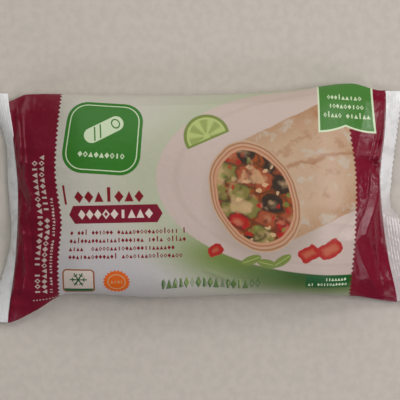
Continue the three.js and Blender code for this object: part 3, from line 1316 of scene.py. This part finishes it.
def cells_group() -> NodeGroup:
    """Make the group for random cells.

    Returns:
        A group that turns a place and a pitch into the distances from the nearest cell's middle
        and edge, and a random value for the cell.
    """
    names = ("U", "V", "Pitch")
    group = NodeGroup("Flat cells", numbers(*names), numbers("Distance", "Edge", "Chance"))
    u, v, pitch = (group.read(name) for name in names)
    across, up = u / pitch, v / pitch
    cells = flat_texture("ShaderNodeTexVoronoi", across, up)
    cells.voronoi_dimensions = "2D"
    parts = group.tree.nodes.new("ShaderNodeSeparateColor")
    group.tree.links.new(cells.outputs["Color"], parts.inputs[0])
    edges = flat_texture("ShaderNodeTexVoronoi", across, up)
    edges.voronoi_dimensions = "2D"
    edges.feature = "DISTANCE_TO_EDGE"
    group.write("Distance", cells.outputs["Distance"])
    group.write("Edge", edges.outputs["Distance"])
    group.write("Chance", parts.outputs["Red"])
    return group


@dataclass(frozen=True)
class Textures:
    """Random patterns over a surface."""

    noises: NodeGroup = field(default_factory=noise_group)
    cell_fields: NodeGroup = field(default_factory=cells_group)

    def noise(self, spot: Spot, pitch: float, detail: float = 2.0) -> Field:
        """Give soft random values from 0 to 1, with features a pitch apart.

        Args:
            spot: Where to read them.
            pitch: The distance between features.
            detail: How many finer layers are added.

        Returns:
            The values.
        """
        values = {"U": spot.u, "V": spot.v, "Pitch": pitch, "Detail": detail}
        node = place_group(spot.u.tree, self.noises, **values)
        return Field(spot.u.tree, node.outputs["Value"])

    def cells(self, spot: Spot, pitch: float) -> tuple[Field, Field, Field]:
        """Give random cells: the distances from their middles and edges, and their chances.

        Args:
            spot: Where to read them.
            pitch: The distance between cells.

        Returns:
            The distance from the nearest cell's middle, from its edge, and its chance.
        """
        values = {"U": spot.u, "V": spot.v, "Pitch": pitch}
        node = place_group(spot.u.tree, self.cell_fields, **values)
        return tuple(Field(spot.u.tree, node.outputs[n]) for n in ("Distance", "Edge", "Chance"))


def words_group() -> NodeGroup:
    """Make the group for rows of lozenges, ticks and triangles, laid where words would be.

    Returns:
        A group that turns a place, measured from the left end of the first row, into a mask.
    """
    names = ("U", "V", "Width", "Height", "Spacing", "Pitch", "Rows", "Rise", "Gaps", "Seed")
    group = NodeGroup("Rows of marks", numbers(*names), numbers("Mask"))
    u, v, width, height, spacing, pitch, rows, rise, gaps, seed = (group.read(n) for n in names)
    row = ((height * 1.5 - v) / pitch).floor()
    up = (v + row * pitch) / height
    lozenges, ticks, exact, soft = 0.52, 0.76, 0.01, 0.14
    row_seed = row * 57.0 + seed
    step = height * spacing
    place = u / step
    cell = place.floor()
    side = abs(place - cell - 0.5)
    chance = (row_seed + cell * 1.7).chance().most(cell.below(0.5, 0.1) * 0.3)
    second = (chance * 7.3).fraction()
    diamond = side / 0.46 + abs(up - 0.5) / 0.6
    hollow = diamond.below(0.5, soft) * second.above(0.55, exact)
    lozenge = (diamond.below(1.0, soft) - hollow) * chance.below(lozenges, exact)
    top = rise * second.above(0.45, exact) * 0.45 + 1.0
    tick = side.below(0.16, 0.06) * (up - top).below(0.0, 0.08)
    tick = tick * chance.between(lozenges, ticks, exact)
    triangle = (side + up * 0.45).below(0.46, 0.06) * chance.above(ticks, exact)
    upright = tick.most(triangle) * up.above(0.0, 0.08)
    mark = lozenge.most(upright) * (chance - gaps).above(0.0, exact)
    length = width * (1.0 - row_seed.chance() * 0.13)
    fits = ((cell + 1.0) * step - length).below(0.0, exact) * u.above(0.0, exact)
    mask = mark * fits * row.above(-0.5, 0.1) * (row - rows).below(-0.5, 0.1)
    group.write("Mask", mask.socket)
    return group


@dataclass(frozen=True)
class Words:
    """Lays rows of marks in place of words."""

    group: NodeGroup

    def rows(
        self,
        start: Spot,
        width: float,
        height: float,
        seed: int,
        rows: int = 1,
        pitch: float = 99.0,
        spacing: float = 1.0,
        rise: float = 1.0,
        gaps: float = 0.12,
    ) -> Field:
        """Lay rows of marks.

        Args:
            start: The left end of the first row's base line.
            width: The width of the longest row.
            height: The height of a low mark.
            seed: Chooses the marks.
            rows: The number of rows.
            pitch: The distance from row to row.
            spacing: The distance from mark to mark, as a share of the height.
            rise: 1 where some marks rise above the others, 0 where none does.
            gaps: The share of marks that are left out.

        Returns:
            The rows' mask.
        """
        values = {
            "U": start.u,
            "V": start.v,
            "Width": width,
            "Height": height,
            "Spacing": spacing,
            "Pitch": pitch,
            "Rows": rows,
            "Rise": rise,
            "Gaps": gaps,
            "Seed": seed,
        }
        node = place_group(start.u.tree, self.group, **values)
        return Field(start.u.tree, node.outputs["Mask"])


@dataclass
class FilmPrint:
    """The print: fields of colour, a plain picture of a cut wrap, and marks in place of words.

    The plate, the wrap, the middle of the label and the back panel are placed by film coordinates.
    The badge, the ribbon, the small signs and panel, and the label's foot are placed in plan.
    """

    tube: FilmTube
    inks: Inks
    words: Words
    textures: Textures
    tooth_pitch: float = 2.3
    tooth_depth: float = 1.1
    plate_centre: Point = (65, 8)
    plate_half: Point = (85, 45.5)
    wrap_centre: Point = (25, -1)
    wrap_turn: float = 27
    wrap_half_width: float = 25.5
    cut_half_length: float = 18.5
    cut_layers: tuple[Point, ...] = ((0.985, 1.02), (0.915, 0.94))
    chunk_pitch: float = 8.8
    grain_pitch: float = 3.4
    badge_centre: Point = (-44, 26.5)
    ribbon_centre: Point = (-39, -8.7)
    snowflake_centre: Point = (-55.6, -40)
    starburst_centre: Point = (-38.3, -40)
    starburst_points: int = 22
    foot_panel_centre: Point = (59, -40)
    label_foot: Point = (66, 28.6)
    label_middle: float = 68.8
    label_half_width: float = 14.4
    label_height: float = 35
    label_edge_width: float = 0.9
    label_notch: float = 3.0
    dash_pitch: float = 1.5
    back_panel_centre: Point = (-20, 77)
    rule_pitch: float = 3.2

    def group(self) -> NodeGroup:
        """Make the print's node group.

        Returns:
            A group that turns film coordinates in millimetres into the print's colour.
        """
        group = NodeGroup("Film print", numbers("U", "V"), [("Colour", Kind.COLOUR)])
        spot = Spot(group.read("U"), group.read("V"))
        base = group.tree.nodes.new("ShaderNodeRGB")
        base.outputs[0].default_value = self.inks.cream
        palette = Palette(group.tree, base.outputs[0])
        self._wash(palette, spot)
        self._plate(palette, spot)
        self._wrap(palette, spot)
        self._garnish(palette, spot)
        self._badge(palette, spot)
        self._title(palette, spot)
        self._marks(palette, spot)
        self._foot_words(palette, spot)
        self._back_panel(palette, spot)
        self._bands(palette, spot)
        self._label(palette, spot)
        group.write("Colour", palette.colour)
        return group

    def _at(self, spot: Spot, x: float, y: float, turn: float = 0) -> Spot:
        """Move the origin to a place on the front that is given in plan."""
        return spot.at(x, self.tube.girth_at(x, y), turn)

    def _wash(self, palette: Palette, spot: Spot) -> None:
        """Lay the green wash that fades out from the plate over the cream ground, with a painted
        cool sheen at the lower left.

        Args:
            palette: The colours laid so far.
            spot: Film coordinates.
        """
        # Painted reflection: the cream turns bluish towards the near side and the left, as a
        # painted sheen
        painted_sheen = spot.v.ramp(0, -40) * spot.u.ramp(10, -40)
        palette.lay(self.inks.cream_painted_sheen, painted_sheen * 0.8)
        far = spot.at(*self.plate_centre).radius(*self.plate_half)
        front = abs(spot.v).ramp(66, 52)
        palette.lay(self.inks.wash_pale, far.ramp(1.42, 1.04) * front * 0.7)
        upper = (spot.v - spot.u * 0.25).ramp(18, 40)
        palette.lay(self.inks.cream, upper * far.ramp(0.98, 1.2) * 0.5)
        low = (spot.u * 0.5 - spot.v).ramp(4, 34)
        palette.lay(self.inks.wash, far.ramp(1.42, 1.03) * low * front)
        deep = (spot.u - spot.v * 1.4).ramp(36, 112)
        palette.lay(self.inks.wash_deep, far.ramp(1.36, 0.99) * deep * front)

    def _plate(self, palette: Palette, spot: Spot) -> None:
        """Lay the pale plate with its rim.

        Args:
            palette: The colours laid so far.
            spot: Film coordinates.
        """
        far = spot.at(*self.plate_centre).radius(*self.plate_half)
        palette.lay(self.inks.plate, far.below(1.0, 0.012))
        rim = far.between(0.88, 0.91, 0.03)
        palette.lay(self.inks.plate_shade, rim * 0.22)

    def _wrap(self, palette: Palette, spot: Spot) -> None:
        """Lay the cut wrap: its shadow, rolled tortilla, cut edge and filling.

        Args:
            palette: The colours laid so far.
            spot: Film coordinates.
        """
        inks = self.inks
        wrap = spot.at(*self.wrap_centre, self.wrap_turn)
        shadow = wrap.at(3, -4).radius(self.cut_half_length + 9, self.wrap_half_width + 5)
        palette.lay(inks.plate_shade, shadow.ramp(1.1, 0.75) * 0.7)
        mottle = self.textures.noise(wrap, 9, 4)
        grain = self.textures.noise(wrap, 1.6, 2)
        across = wrap.v / self.wrap_half_width
        belly = abs(across) + (mottle - 0.5) * 0.08
        roll = belly.below(1.0, 0.02) * wrap.u.above(0.0, 1.0)
        palette.lay(inks.tortilla, roll)
        # The roll's own drawn shading, plus painted shade: the tortilla darkens towards the right,
        # where the right lamp's sheen falls
        shaded = belly.ramp(0.5, 1.04) * 0.7 + wrap.u.ramp(10, 56) * 0.3
        palette.lay(inks.tortilla_shade, roll * shaded)
        palette.lay(inks.toast, roll * (mottle + (grain - 0.5) * 0.3).ramp(0.58, 0.74) * 0.36)
        palette.lay(inks.cream, roll * (mottle + (grain - 0.5) * 0.2).ramp(0.44, 0.3) * 0.45)
        turn = (wrap.v + wrap.u * 0.24 + (mottle - 0.5) * 7 - 9).between(0.6, 2.2, 1.3)
        palette.lay(inks.toast, roll * turn * 0.55)
        cut = wrap.radius(self.cut_half_length, self.wrap_half_width)
        wavy = cut + (self.textures.noise(wrap, 14) - 0.5) * 0.09
        palette.lay(inks.tortilla, wavy.below(1.05, 0.03))
        palette.lay(inks.bean_pale, wavy.between(0.84, 0.97, 0.1) * 0.5)
        for inner, outer in self.cut_layers:
            palette.lay(inks.toast, wavy.between(inner, outer, 0.03) * 0.8)
        self._filling(palette, wrap, wavy.below(0.86, 0.03))

    def _filling(self, palette: Palette, wrap: Spot, inside: Field) -> None:
        """Lay the filling: uneven chunks in sauce, with small grains over them.

        Args:
            palette: The colours laid so far.
            wrap: Coordinates from the middle of the cut face.
            inside: The cut face's mask.
        """
        inks = self.inks
        sway = self.textures.noise(wrap, 5, 2)
        bent = Spot(wrap.u + (sway - 0.5) * 4, wrap.v - (sway - 0.5) * 4)
        distance, edge, chance = self.textures.cells(bent, self.chunk_pitch)
        ramp = wrap.u.tree.nodes.new("ShaderNodeValToRGB")
        ramp.color_ramp.interpolation = "CONSTANT"
        chunks = (
            (0.0, inks.bean),
            (0.24, inks.pepper_green),
            (0.38, inks.bean_pale),
            (0.54, inks.pepper_dark),
            (0.64, inks.pepper_red),
            (0.74, inks.cheese),
            (0.82, inks.bean),
        )
        elements = ramp.color_ramp.elements
        for place, colour in chunks[2:]:
            elements.new(place).color = colour
        elements[0].color = chunks[0][1]
        elements[1].position, elements[1].color = chunks[1]
        wrap.u.tree.links.new(chance.socket, ramp.inputs["Fac"])
        palette.lay(inks.sauce, inside)
        palette.lay(ramp.outputs["Color"], inside * distance.ramp(0.66, 0.5))
        palette.lay(inks.cheese, inside * distance.ramp(0.3, 0.02) * 0.3)
        palette.lay(inks.pepper_dark, inside * edge.ramp(0.15, 0.0) * 0.62)
        near, _, lucky = self.textures.cells(bent, self.grain_pitch)
        palette.lay(inks.cheese, inside * near.ramp(0.36, 0.24) * lucky.above(0.84, 0.02) * 0.8)
        palette.lay(inks.pepper_red, inside * near.ramp(0.4, 0.3) * lucky.below(0.12, 0.02) * 0.9)
        palette.lay(inks.leaf, inside * near.ramp(0.4, 0.3) * lucky.between(0.3, 0.36, 0.02) * 0.7)
        palette.lay(inks.pepper_dark, inside * sway.ramp(0.42, 0.26) * 0.5)
        melted = self.textures.noise(wrap.at(7, 3), 11, 3)
        palette.lay(inks.cheese, inside * melted.ramp(0.54, 0.66) * 0.6)

    def _garnish(self, palette: Palette, spot: Spot) -> None:
        """Lay a lime wedge above the wrap, with tomato pieces and leaves below it.

        Args:
            palette: The colours laid so far.
            spot: Film coordinates.
        """
        inks = self.inks
        lime = spot.at(3, 27, 24)
        rind = lime.radius(10.5, 10.5)
        half = lime.v.above(-2.2)
        palette.lay(inks.leaf, rind.below(1.0, 0.03) * half)
        palette.lay(inks.leaf_pale, rind.below(0.86, 0.03) * lime.v.above(-1.2))
        spokes = abs((lime.angle() * 3.5).sine())
        palette.lay(inks.leaf, rind.between(0.14, 0.76, 0.04) * half * spokes.ramp(0.3, 0.95) * 0.6)
        tomatoes = ((50, -27, 4.6), (59.5, -25, 5.4), (7, -25.5, 3.6))
        for u, v, size in tomatoes:
            mottle = self.textures.noise(spot, 5)
            piece = spot.at(u, v, 30).box(size, size * 0.72, size * 0.45)
            uneven = piece + (mottle - 0.5) * 2.6
            palette.lay(inks.pepper_red, uneven.below(0.0, 0.5))
            palette.lay(inks.bean_pale, uneven.ramp(-1.0, -3.2) * 0.5)
        leaves = ((23.5, -30, 20), (30.8, -31.8, -14), (37.6, -30.4, 34))
        for u, v, turn in leaves:
            leaf = spot.at(u, v, turn)
            shape = leaf.radius(4.7, 2.1)
            palette.lay(inks.leaf, shape.below(1.0, 0.1))
            palette.lay(inks.leaf_pale, abs(leaf.v).below(0.2) * shape.below(0.85, 0.1) * 0.7)

    def _badge(self, palette: Palette, spot: Spot) -> None:
        """Lay the large green badge: a soft square with a plain rolled-wrap sign and marks.

        Args:
            palette: The colours laid so far.
            spot: Film coordinates.
        """
        inks = self.inks
        badge = self._at(spot, *self.badge_centre, -4)
        outline = badge.box(17.4, 17.2, 9.5)
        palette.lay(inks.badge, outline.below(0.0))
        palette.lay(inks.label_edge, outline.between(-2.0, -1.5) * 0.9)
        sign = badge.at(0, 3.6, 32)
        roll = sign.box(9.4, 3.6, 3.4)
        palette.lay(inks.label_edge, roll.below(0.0) * 0.9)
        palette.lay(inks.badge, sign.at(5.8, 0).radius(2.0, 2.5).between(0.72, 1.0, 0.1))
        for u in (-4.6, -1.8):
            palette.lay(inks.badge, abs(sign.at(u, 0, -24).u).below(0.3) * roll.below(-0.6))
        marks = self.words.rows(badge.at(-10.4, -9.6), 22, 2.3, seed=40, gaps=0)
        palette.lay(inks.label_edge, marks * 0.9)

    def _title(self, palette: Palette, spot: Spot) -> None:
        """Lay the title's marks, the ribbon below it and four small rows.

        Args:
            palette: The colours laid so far.
            spot: Film coordinates.
        """
        inks = self.inks
        palette.lay(inks.words, self._at(spot, -61.8, 0).box(0.5, 4.4).below(0.0))
        title = self.words.rows(self._at(spot, -57.6, -3.4, 1.0), 35.5, 4.6, seed=106, gaps=0)
        palette.lay(inks.words, title)
        ribbon = self._at(spot, *self.ribbon_centre, 1.2)
        pointed = abs(ribbon.u) + abs(ribbon.v) * 0.6 - 22
        palette.lay(inks.crimson, (abs(ribbon.v) - 4.1).most(pointed).below(0.0))
        start = ribbon.at(-17.8, -1.9)
        capitals = self.words.rows(start, 37.5, 3.8, seed=122, spacing=1.04, rise=0, gaps=0)
        palette.lay(inks.pale_words, capitals)
        start = self._at(spot, -60.6, -18.4, 1.3)
        palette.lay(inks.words, self.words.rows(start, 56, 1.75, seed=159, rows=4, pitch=3.75))

    def _marks(self, palette: Palette, spot: Spot) -> None:
        """Lay the snowflake mark and the orange starburst.

        Args:
            palette: The colours laid so far.
            spot: Film coordinates.
        """
        inks = self.inks
        mark = self._at(spot, *self.snowflake_centre)
        frame_line = mark.box(7.4, 6.6, 2.2)
        palette.lay(inks.pale_words, frame_line.below(0.0))
        palette.lay(inks.toast, frame_line.between(-0.7, 0.0))
        foot = mark.at(0, -6.6).box(6.8, 2.6).below(0.0)
        palette.lay(inks.green_words, foot * frame_line.below(-0.7))
        palette.lay(inks.green_words, self._snowflake(mark.at(0, 1.2)))
        star = self._at(spot, *self.starburst_centre)
        turns = star.angle() * (self.starburst_points / (2 * math.pi))
        points = (turns + 40).fraction()
        edge = abs(points - 0.5) * 1.7 + 5.5
        radius = star.radius()
        palette.lay(inks.orange, (radius - edge).below(0.0))
        palette.lay(inks.cheese, radius.between(3.7, 4.2) * 0.8)
        marks = self.words.rows(star.at(-2.9, -0.7), 7.2, 1.5, seed=196, rise=0)
        palette.lay(inks.cheese, marks * 0.8)

    def _snowflake(self, mark: Spot) -> Field:
        """Draw six arms, each with a pair of barbs.

        Args:
            mark: Coordinates from its middle.

        Returns:
            The snowflake's mask.
        """
        arm_length, arm_half, barb_start, barb_half, barb_reach = 3.9, 0.3, 2.1, 0.28, 1.1
        radius = mark.radius()
        sixth = (mark.angle() * (3 / math.pi) + 12.5).fraction() - 0.5
        turn = abs(sixth) * (math.pi / 3)
        out = radius * turn.cosine()
        off = radius * turn.sine()
        arm = off.below(arm_half) * radius.below(arm_length)
        barb = abs(out - off * 0.7 - barb_start).below(barb_half) * off.below(barb_reach)
        return arm.most(barb)

    def _foot_words(self, palette: Palette, spot: Spot) -> None:
        """Lay the bent row of tall marks along the near side and a small panel at its right.

        Args:
            palette: The colours laid so far.
            spot: Film coordinates.
        """
        inks = self.inks
        start = self._at(spot, -18.4, -43.2)
        wave = (start.u * 0.13 - 0.4).sine() * 0.9
        bent = Spot(start.u, start.v - wave - start.u * 0.02)
        tall = {"width": 49, "height": 5.0, "spacing": 0.54, "rise": 0, "gaps": 0.15}
        palette.lay(inks.green_words, self.words.rows(bent, seed=233, **tall))
        inner = Spot(bent.u - 0.3, bent.v - 0.35)
        palette.lay(inks.leaf_pale, self.words.rows(inner, seed=233, **tall) * 0.55)
        shaded = self.words.rows(bent.at(0.35, 0.4), seed=270, **tall)
        palette.lay(inks.green_words, shaded * 0.5)
        panel = self._at(spot, *self.foot_panel_centre)
        palette.lay(inks.green_words, panel.box(10.5, 3.1, 0.6).below(0.0) * 0.85)
        for u, v, width, seed in ((-1.2, 0.5, 12, 307), (-9.6, -2.2, 22, 344)):
            marks = self.words.rows(panel.at(u, v), width, 1.5, seed, rise=0)
            palette.lay(inks.label_edge, marks)

    def _bands(self, palette: Palette, spot: Spot) -> None:
        """Lay the crimson bands at both ends, with zigzag edges, and their upright marks.

        Args:
            palette: The colours laid so far.
            spot: Film coordinates.
        """
        share = (spot.v / self.tooth_pitch + 60).fraction()
        tooth = abs(share - 0.5) * (2 * self.tooth_depth) - self.tooth_depth / 2
        left = (spot.u - tooth).below(self.tube.left_band)
        right = (spot.u + tooth).above(self.tube.right_band)
        palette.lay(self.inks.crimson, left.most(right))
        near = self.tube.girth_at(-70, -46)
        columns = ((-73.7, 74, 2.4, 492), (-70.4, 77, 2.3, 529), (-67.8, 52, 1.3, 566))
        for u, width, height, seed in columns:
            start = spot.at(u, near, 90)
            marks = self.words.rows(start, width, height, seed, spacing=1.15, rise=0)
            palette.lay(self.inks.pale_words, marks * 0.8)
        dashes = (spot.u / self.dash_pitch + 90).fraction().above(0.5)
        row = spot.at(-72, near - 3.0).box(5.6, 0.3).below(0.0)
        palette.lay(self.inks.pale_words, row * dashes * 0.7)

    def _label(self, palette: Palette, spot: Spot) -> None:
        """Lay the green label with a notched foot that hangs from the far right corner.

        Args:
            palette: The colours laid so far.
            spot: Film coordinates.
        """
        inks = self.inks
        edge = self.label_edge_width
        label = spot.at(self.label_middle, self.tube.girth_at(*self.label_foot))
        notch = (1.0 - abs(label.u) / self.label_half_width).most(0.0)
        below_foot = notch * notch * self.label_notch - label.v
        wide = abs(label.u) - self.label_half_width
        top = label.v - self.label_height
        palette.lay(inks.label_edge, wide.most(below_foot).most(top).below(0.0))
        palette.lay(inks.label, (wide + edge).most(below_foot + edge).most(top).below(0.0))
        rows = ((-9.2, 16.6, 21, 603), (-8.4, 12.0, 20, 640), (-11.6, 7.4, 27, 677))
        for u, v, width, seed in rows:
            marks = self.words.rows(label.at(u, v, -1.5), width, 2.0, seed)
            palette.lay(inks.label_edge, marks * 0.9)

    def _back_panel(self, palette: Palette, spot: Spot) -> None:
        """Lay a ruled panel and plain rows on the back, one on each side of the seam.

        Args:
            palette: The colours laid so far.
            spot: Film coordinates.
        """
        inks = self.inks
        panel = spot.at(*self.back_panel_centre)
        outline = panel.box(34, 12.5, 1.0)
        palette.lay(inks.words, outline.between(-0.35, 0.0) * 0.9)
        pitch = self.rule_pitch
        rule = abs((panel.v / pitch + 20).fraction() - 0.5).below(0.05, 0.06)
        palette.lay(inks.words, rule * outline.below(-0.4) * 0.6)
        names = panel.at(-32, 7.8)
        marks = self.words.rows(names, 44, 1.2, seed=381, rows=7, pitch=pitch)
        palette.lay(inks.words, marks * 0.9)
        marks = self.words.rows(names.at(56, 0), 9, 1.2, seed=418, rows=7, pitch=pitch)
        palette.lay(inks.words, marks * 0.9)
        marks = self.words.rows(spot.at(-48, -74), 96, 1.4, seed=455, rows=5, pitch=3.4)
        palette.lay(inks.green_words, marks * 0.9)


def slack_film_group(textures: Textures) -> NodeGroup:
    """Make the group for the small creases and uneven gloss of thin slack film.

    Args:
        textures: The random patterns to use.

    Returns:
        A group that turns film coordinates, a gloss and a crease depth into roughness and height.
    """
    names = ("U", "V", "Gloss", "Depth")
    group = NodeGroup("Slack film", numbers(*names), numbers("Roughness", "Height"))
    u, v, gloss, depth = (group.read(name) for name in names)
    broad_pitch, ridge_pitch, fine_pitch, grain_pitch = 13, 8, 3.2, 0.5
    body, seals = 58, 80
    spot = Spot(u, v)
    broad = textures.noise(spot, broad_pitch, 1)
    fine = textures.noise(spot, fine_pitch, 3)
    _, ridges, _ = textures.cells(spot, ridge_pitch)
    ends = abs(u).ramp(body, seals)
    crest = ridges.ramp(0.2, 0.0) * broad * (ends * 0.8 + 0.2)
    height = (fine - 0.5) * 0.14 + crest * 0.09 + textures.noise(spot, grain_pitch, 1) * 0.012
    group.write("Height", (height * depth).socket)
    uneven = (broad - 0.5) * 0.12 + (fine - 0.5) * 0.06 - ends * 0.13
    group.write("Roughness", (gloss + uneven).socket)
    return group


@dataclass(frozen=True)
class FilmFinish:
    """How a film reflects light, how plain film turns grey in places, and the painted shade on the
    right fin's near part.
    """

    name: str
    gloss: float
    depth: float
    specular: float
    parted_grey: float = 0.86
    shaded_share: tuple[float, float, float] = (0.65, 0.58, 0.57)

    def material(
        self, textures: Textures, slack: NodeGroup, colour: NodeGroup | Sequence[float]
    ) -> bpy.types.Material:
        """Make the film's material.

        Args:
            textures: The random patterns to use.
            slack: The group that gives the film's creases and gloss.
            colour: The print's group, or the colour of plain film.

        Returns:
            The material.
        """
        material = bpy.data.materials.new(self.name)
        material.use_nodes = True
        tree = material.node_tree
        shader = tree.nodes["Principled BSDF"]
        uv = tree.nodes.new("ShaderNodeUVMap")
        uv.uv_map = "film"
        parts = tree.nodes.new("ShaderNodeSeparateXYZ")
        tree.links.new(uv.outputs["UV"], parts.inputs[0])
        u, v = (Field(tree, parts.outputs[axis]) * (1 / MILLIMETRE) for axis in ("X", "Y"))
        if isinstance(colour, NodeGroup):
            print_node = place_group(tree, colour, U=u, V=v)
            tree.links.new(print_node.outputs["Colour"], shader.inputs["Base Color"])
        else:
            self._plain(textures, shader, Spot(u, v), colour)
        surface = place_group(tree, slack, U=u, V=v, Gloss=self.gloss, Depth=self.depth)
        bump = tree.nodes.new("ShaderNodeBump")
        bump.inputs["Distance"].default_value = MILLIMETRE
        tree.links.new(surface.outputs["Height"], bump.inputs["Height"])
        tree.links.new(bump.outputs["Normal"], shader.inputs["Normal"])
        tree.links.new(surface.outputs["Roughness"], shader.inputs["Roughness"])
        shader.inputs["Specular IOR Level"].default_value = self.specular
        return material

    def _plain(
        self, textures: Textures, shader: bpy.types.Node, spot: Spot, colour: Sequence[float]
    ) -> None:
        """Colour plain film unevenly, greyer where its layers part, with painted shade darkening it
        at its near right.

        Args:
            textures: The random patterns to use.
            shader: The material's shader.
            spot: Film coordinates.
            colour: The film's colour.
        """
        tree = spot.u.tree
        base = tree.nodes.new("ShaderNodeRGB")
        base.outputs[0].default_value = tuple(colour)
        palette = Palette(tree, base.outputs[0])
        grey = (*(c * self.parted_grey for c in colour[:3]), 1.0)
        palette.lay(grey, textures.noise(spot, 6).ramp(0.45, 0.7))
        painted_shade = (*(c * share for c, share in zip(colour, self.shaded_share)), 1.0)
        # Painted shade: the right fin darkens towards its near side, below its crease
        palette.lay(painted_shade, spot.v.ramp(8, -14) * spot.u.above(0.0))
        tree.links.new(palette.colour, shader.inputs["Base Color"])


PRINTED = FilmFinish("printed film", gloss=0.4, depth=1.0, specular=0.32)
WELDED = FilmFinish("welded film", gloss=0.36, depth=1.2, specular=0.5)


@dataclass(frozen=True)
class Lamp:
    """A soft square light that faces the pack, in metres and watts."""

    name: str
    place: tuple[float, float, float]
    side: float
    power: float
    colour: tuple[float, float, float]

    def hang(self) -> None:
        """Put the light in the scene."""
        lamp = bpy.data.lights.new(self.name, "AREA")
        lamp.size, lamp.energy, lamp.color = self.side, self.power, self.colour
        holder = bpy.data.objects.new(self.name, lamp)
        holder.location = self.place
        direction = -holder.location
        holder.rotation_euler = direction.to_track_quat("-Z", "Y").to_euler()
        bpy.context.scene.collection.objects.link(holder)


@dataclass
class Studio:
    """The floor, the light and the camera."""

    shift: np.ndarray
    textures: Textures
    floor_colour: Colour = ink(172, 166, 157)
    floor_side: float = 4
    floor_drop: float = 0.0002
    floor_roughness: float = 0.8
    mottle_pitch: float = 0.004
    mottle_share: float = 0.93
    picture_pixels: float = 400
    pixels_per_millimetre: float = 2.155
    picture_centre: Point = (0, -2.3)
    side_height: float = 10.5
    camera_height: float = 900
    sensor: float = 36
    sky_colour: Colour = (0.96, 0.98, 1.0, 1.0)
    ceiling_light: float = 0.2
    wall_light: float = 0.08
    lamps: tuple[Lamp, ...] = (
        Lamp("key", (-0.25, 0.75, 0.66), 1.0, 4.7, (1.0, 0.985, 0.95)),
        Lamp("right", (0.66, 0.06, 0.84), 0.42, 4.25, (1.0, 0.965, 0.98)),
        Lamp("far right", (0.72, 0.56, 0.52), 0.2, 1.3, (1.0, 0.97, 0.97)),
        Lamp("near", (0.1, -0.7, 0.65), 0.4, 0.75, (0.84, 0.9, 1.0)),
        Lamp("near right", (0.45, -0.6, 0.6), 0.2, 0.7, (1.0, 0.95, 0.98)),
    )

    def build(self) -> None:
        """Set up everything that isn't the pack."""
        self._floor()
        self._world()
        for lamp in self.lamps:
            lamp.hang()
        self._camera()
        bpy.context.scene.view_settings.view_transform = "Standard"

    def _floor(self) -> None:
        """Lay the plain pale floor."""
        place = (0, 0, -self.floor_drop)
        bpy.ops.mesh.primitive_plane_add(size=self.floor_side, location=place)
        floor = bpy.context.object
        floor.name = "floor"
        material = bpy.data.materials.new("floor")
        material.use_nodes = True
        tree = material.node_tree
        shader = tree.nodes["Principled BSDF"]
        base = tree.nodes.new("ShaderNodeRGB")
        base.outputs[0].default_value = self.floor_colour
        palette = Palette(tree, base.outputs[0])
        place = tree.nodes.new("ShaderNodeTexCoord")
        parts = tree.nodes.new("ShaderNodeSeparateXYZ")
        tree.links.new(place.outputs["Object"], parts.inputs[0])
        spot = Spot(Field(tree, parts.outputs["X"]), Field(tree, parts.outputs["Y"]))
        darker = (*(c * self.mottle_share for c in self.floor_colour[:3]), 1.0)
        palette.lay(darker, self.textures.noise(spot, self.mottle_pitch, 3).ramp(0.3, 0.7))
        tree.links.new(palette.colour, shader.inputs["Base Color"])
        shader.inputs["Roughness"].default_value = self.floor_roughness
        floor.data.materials.append(material)

    def _world(self) -> None:
        """Fill the room with soft light that comes mostly from its ceiling."""
        world = bpy.data.worlds.new("room")
        world.use_nodes = True
        tree = world.node_tree
        place = tree.nodes.new("ShaderNodeTexCoord")
        parts = tree.nodes.new("ShaderNodeSeparateXYZ")
        tree.links.new(place.outputs["Generated"], parts.inputs[0])
        height = Field(tree, parts.outputs["Z"]).ramp(0.0, 0.9)
        sky = tree.nodes["Background"]
        sky.inputs["Color"].default_value = self.sky_colour
        strength = height * (self.ceiling_light - self.wall_light) + self.wall_light
        tree.links.new(strength.socket, sky.inputs["Strength"])
        bpy.context.scene.world = world

    def _camera(self) -> None:
        """Look straight down, with the photograph's scale at the height of the pack's sides."""
        lens = bpy.data.cameras.new("camera")
        span = self.picture_pixels / self.pixels_per_millimetre
        lens.sensor_width = self.sensor
        lens.lens = self.sensor * (self.camera_height - self.side_height) / span
        camera = bpy.data.objects.new("camera", lens)
        place = np.array([*self.picture_centre, self.camera_height]) + self.shift
        camera.location = (place * MILLIMETRE).tolist()
        bpy.context.scene.collection.objects.link(camera)
        bpy.context.scene.camera = camera


def plan_shift(shape: FilmShape) -> np.ndarray:
    """Work out where the plan's origin lies in the frame, from the solid's box.

    Args:
        shape: The film's shape.

    Returns:
        The shift from plan to frame, in millimetres.
    """
    low, high = (np.array(corner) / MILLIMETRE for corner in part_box(NODE))
    curves = (shape.left_seal, shape.right_seal, shape.near_side, shape.far_side)
    left, right, near, far = (max(value for _, value in curve.pairs) for curve in curves)
    left, right = left + FIN_REACH, right + FIN_REACH
    middle = (low + high) / 2
    return np.array([middle[0] - (right - left) / 2, middle[1] - (far - near) / 2, low[2]])


def main() -> None:
    """Build the pack and the studio."""
    logging.basicConfig(level=logging.INFO, format="%(name)s: %(message)s")
    shape = FilmShape()
    shift = plan_shift(shape)
    tube = FilmTube(shape, FrontFolds(), shift)
    textures = Textures()
    slack = slack_film_group(textures)
    inks = Inks()
    film_print = FilmPrint(tube, inks, Words(words_group()), textures).group()
    printed = PRINTED.material(textures, slack, film_print)
    welded = WELDED.material(textures, slack, inks.plain_film)
    tube.build(printed)
    EndFin(shape, shift, end=-1, near=59.6, far=47.6, lift=LEFT_LIFT).build(welded)
    EndFin(shape, shift, end=1, near=49.7, far=48.8, lift=RIGHT_LIFT).build(welded)
    BackSeam(tube).build(printed)
    Studio(shift, textures).build()


if __name__ == "__main__":
    main()
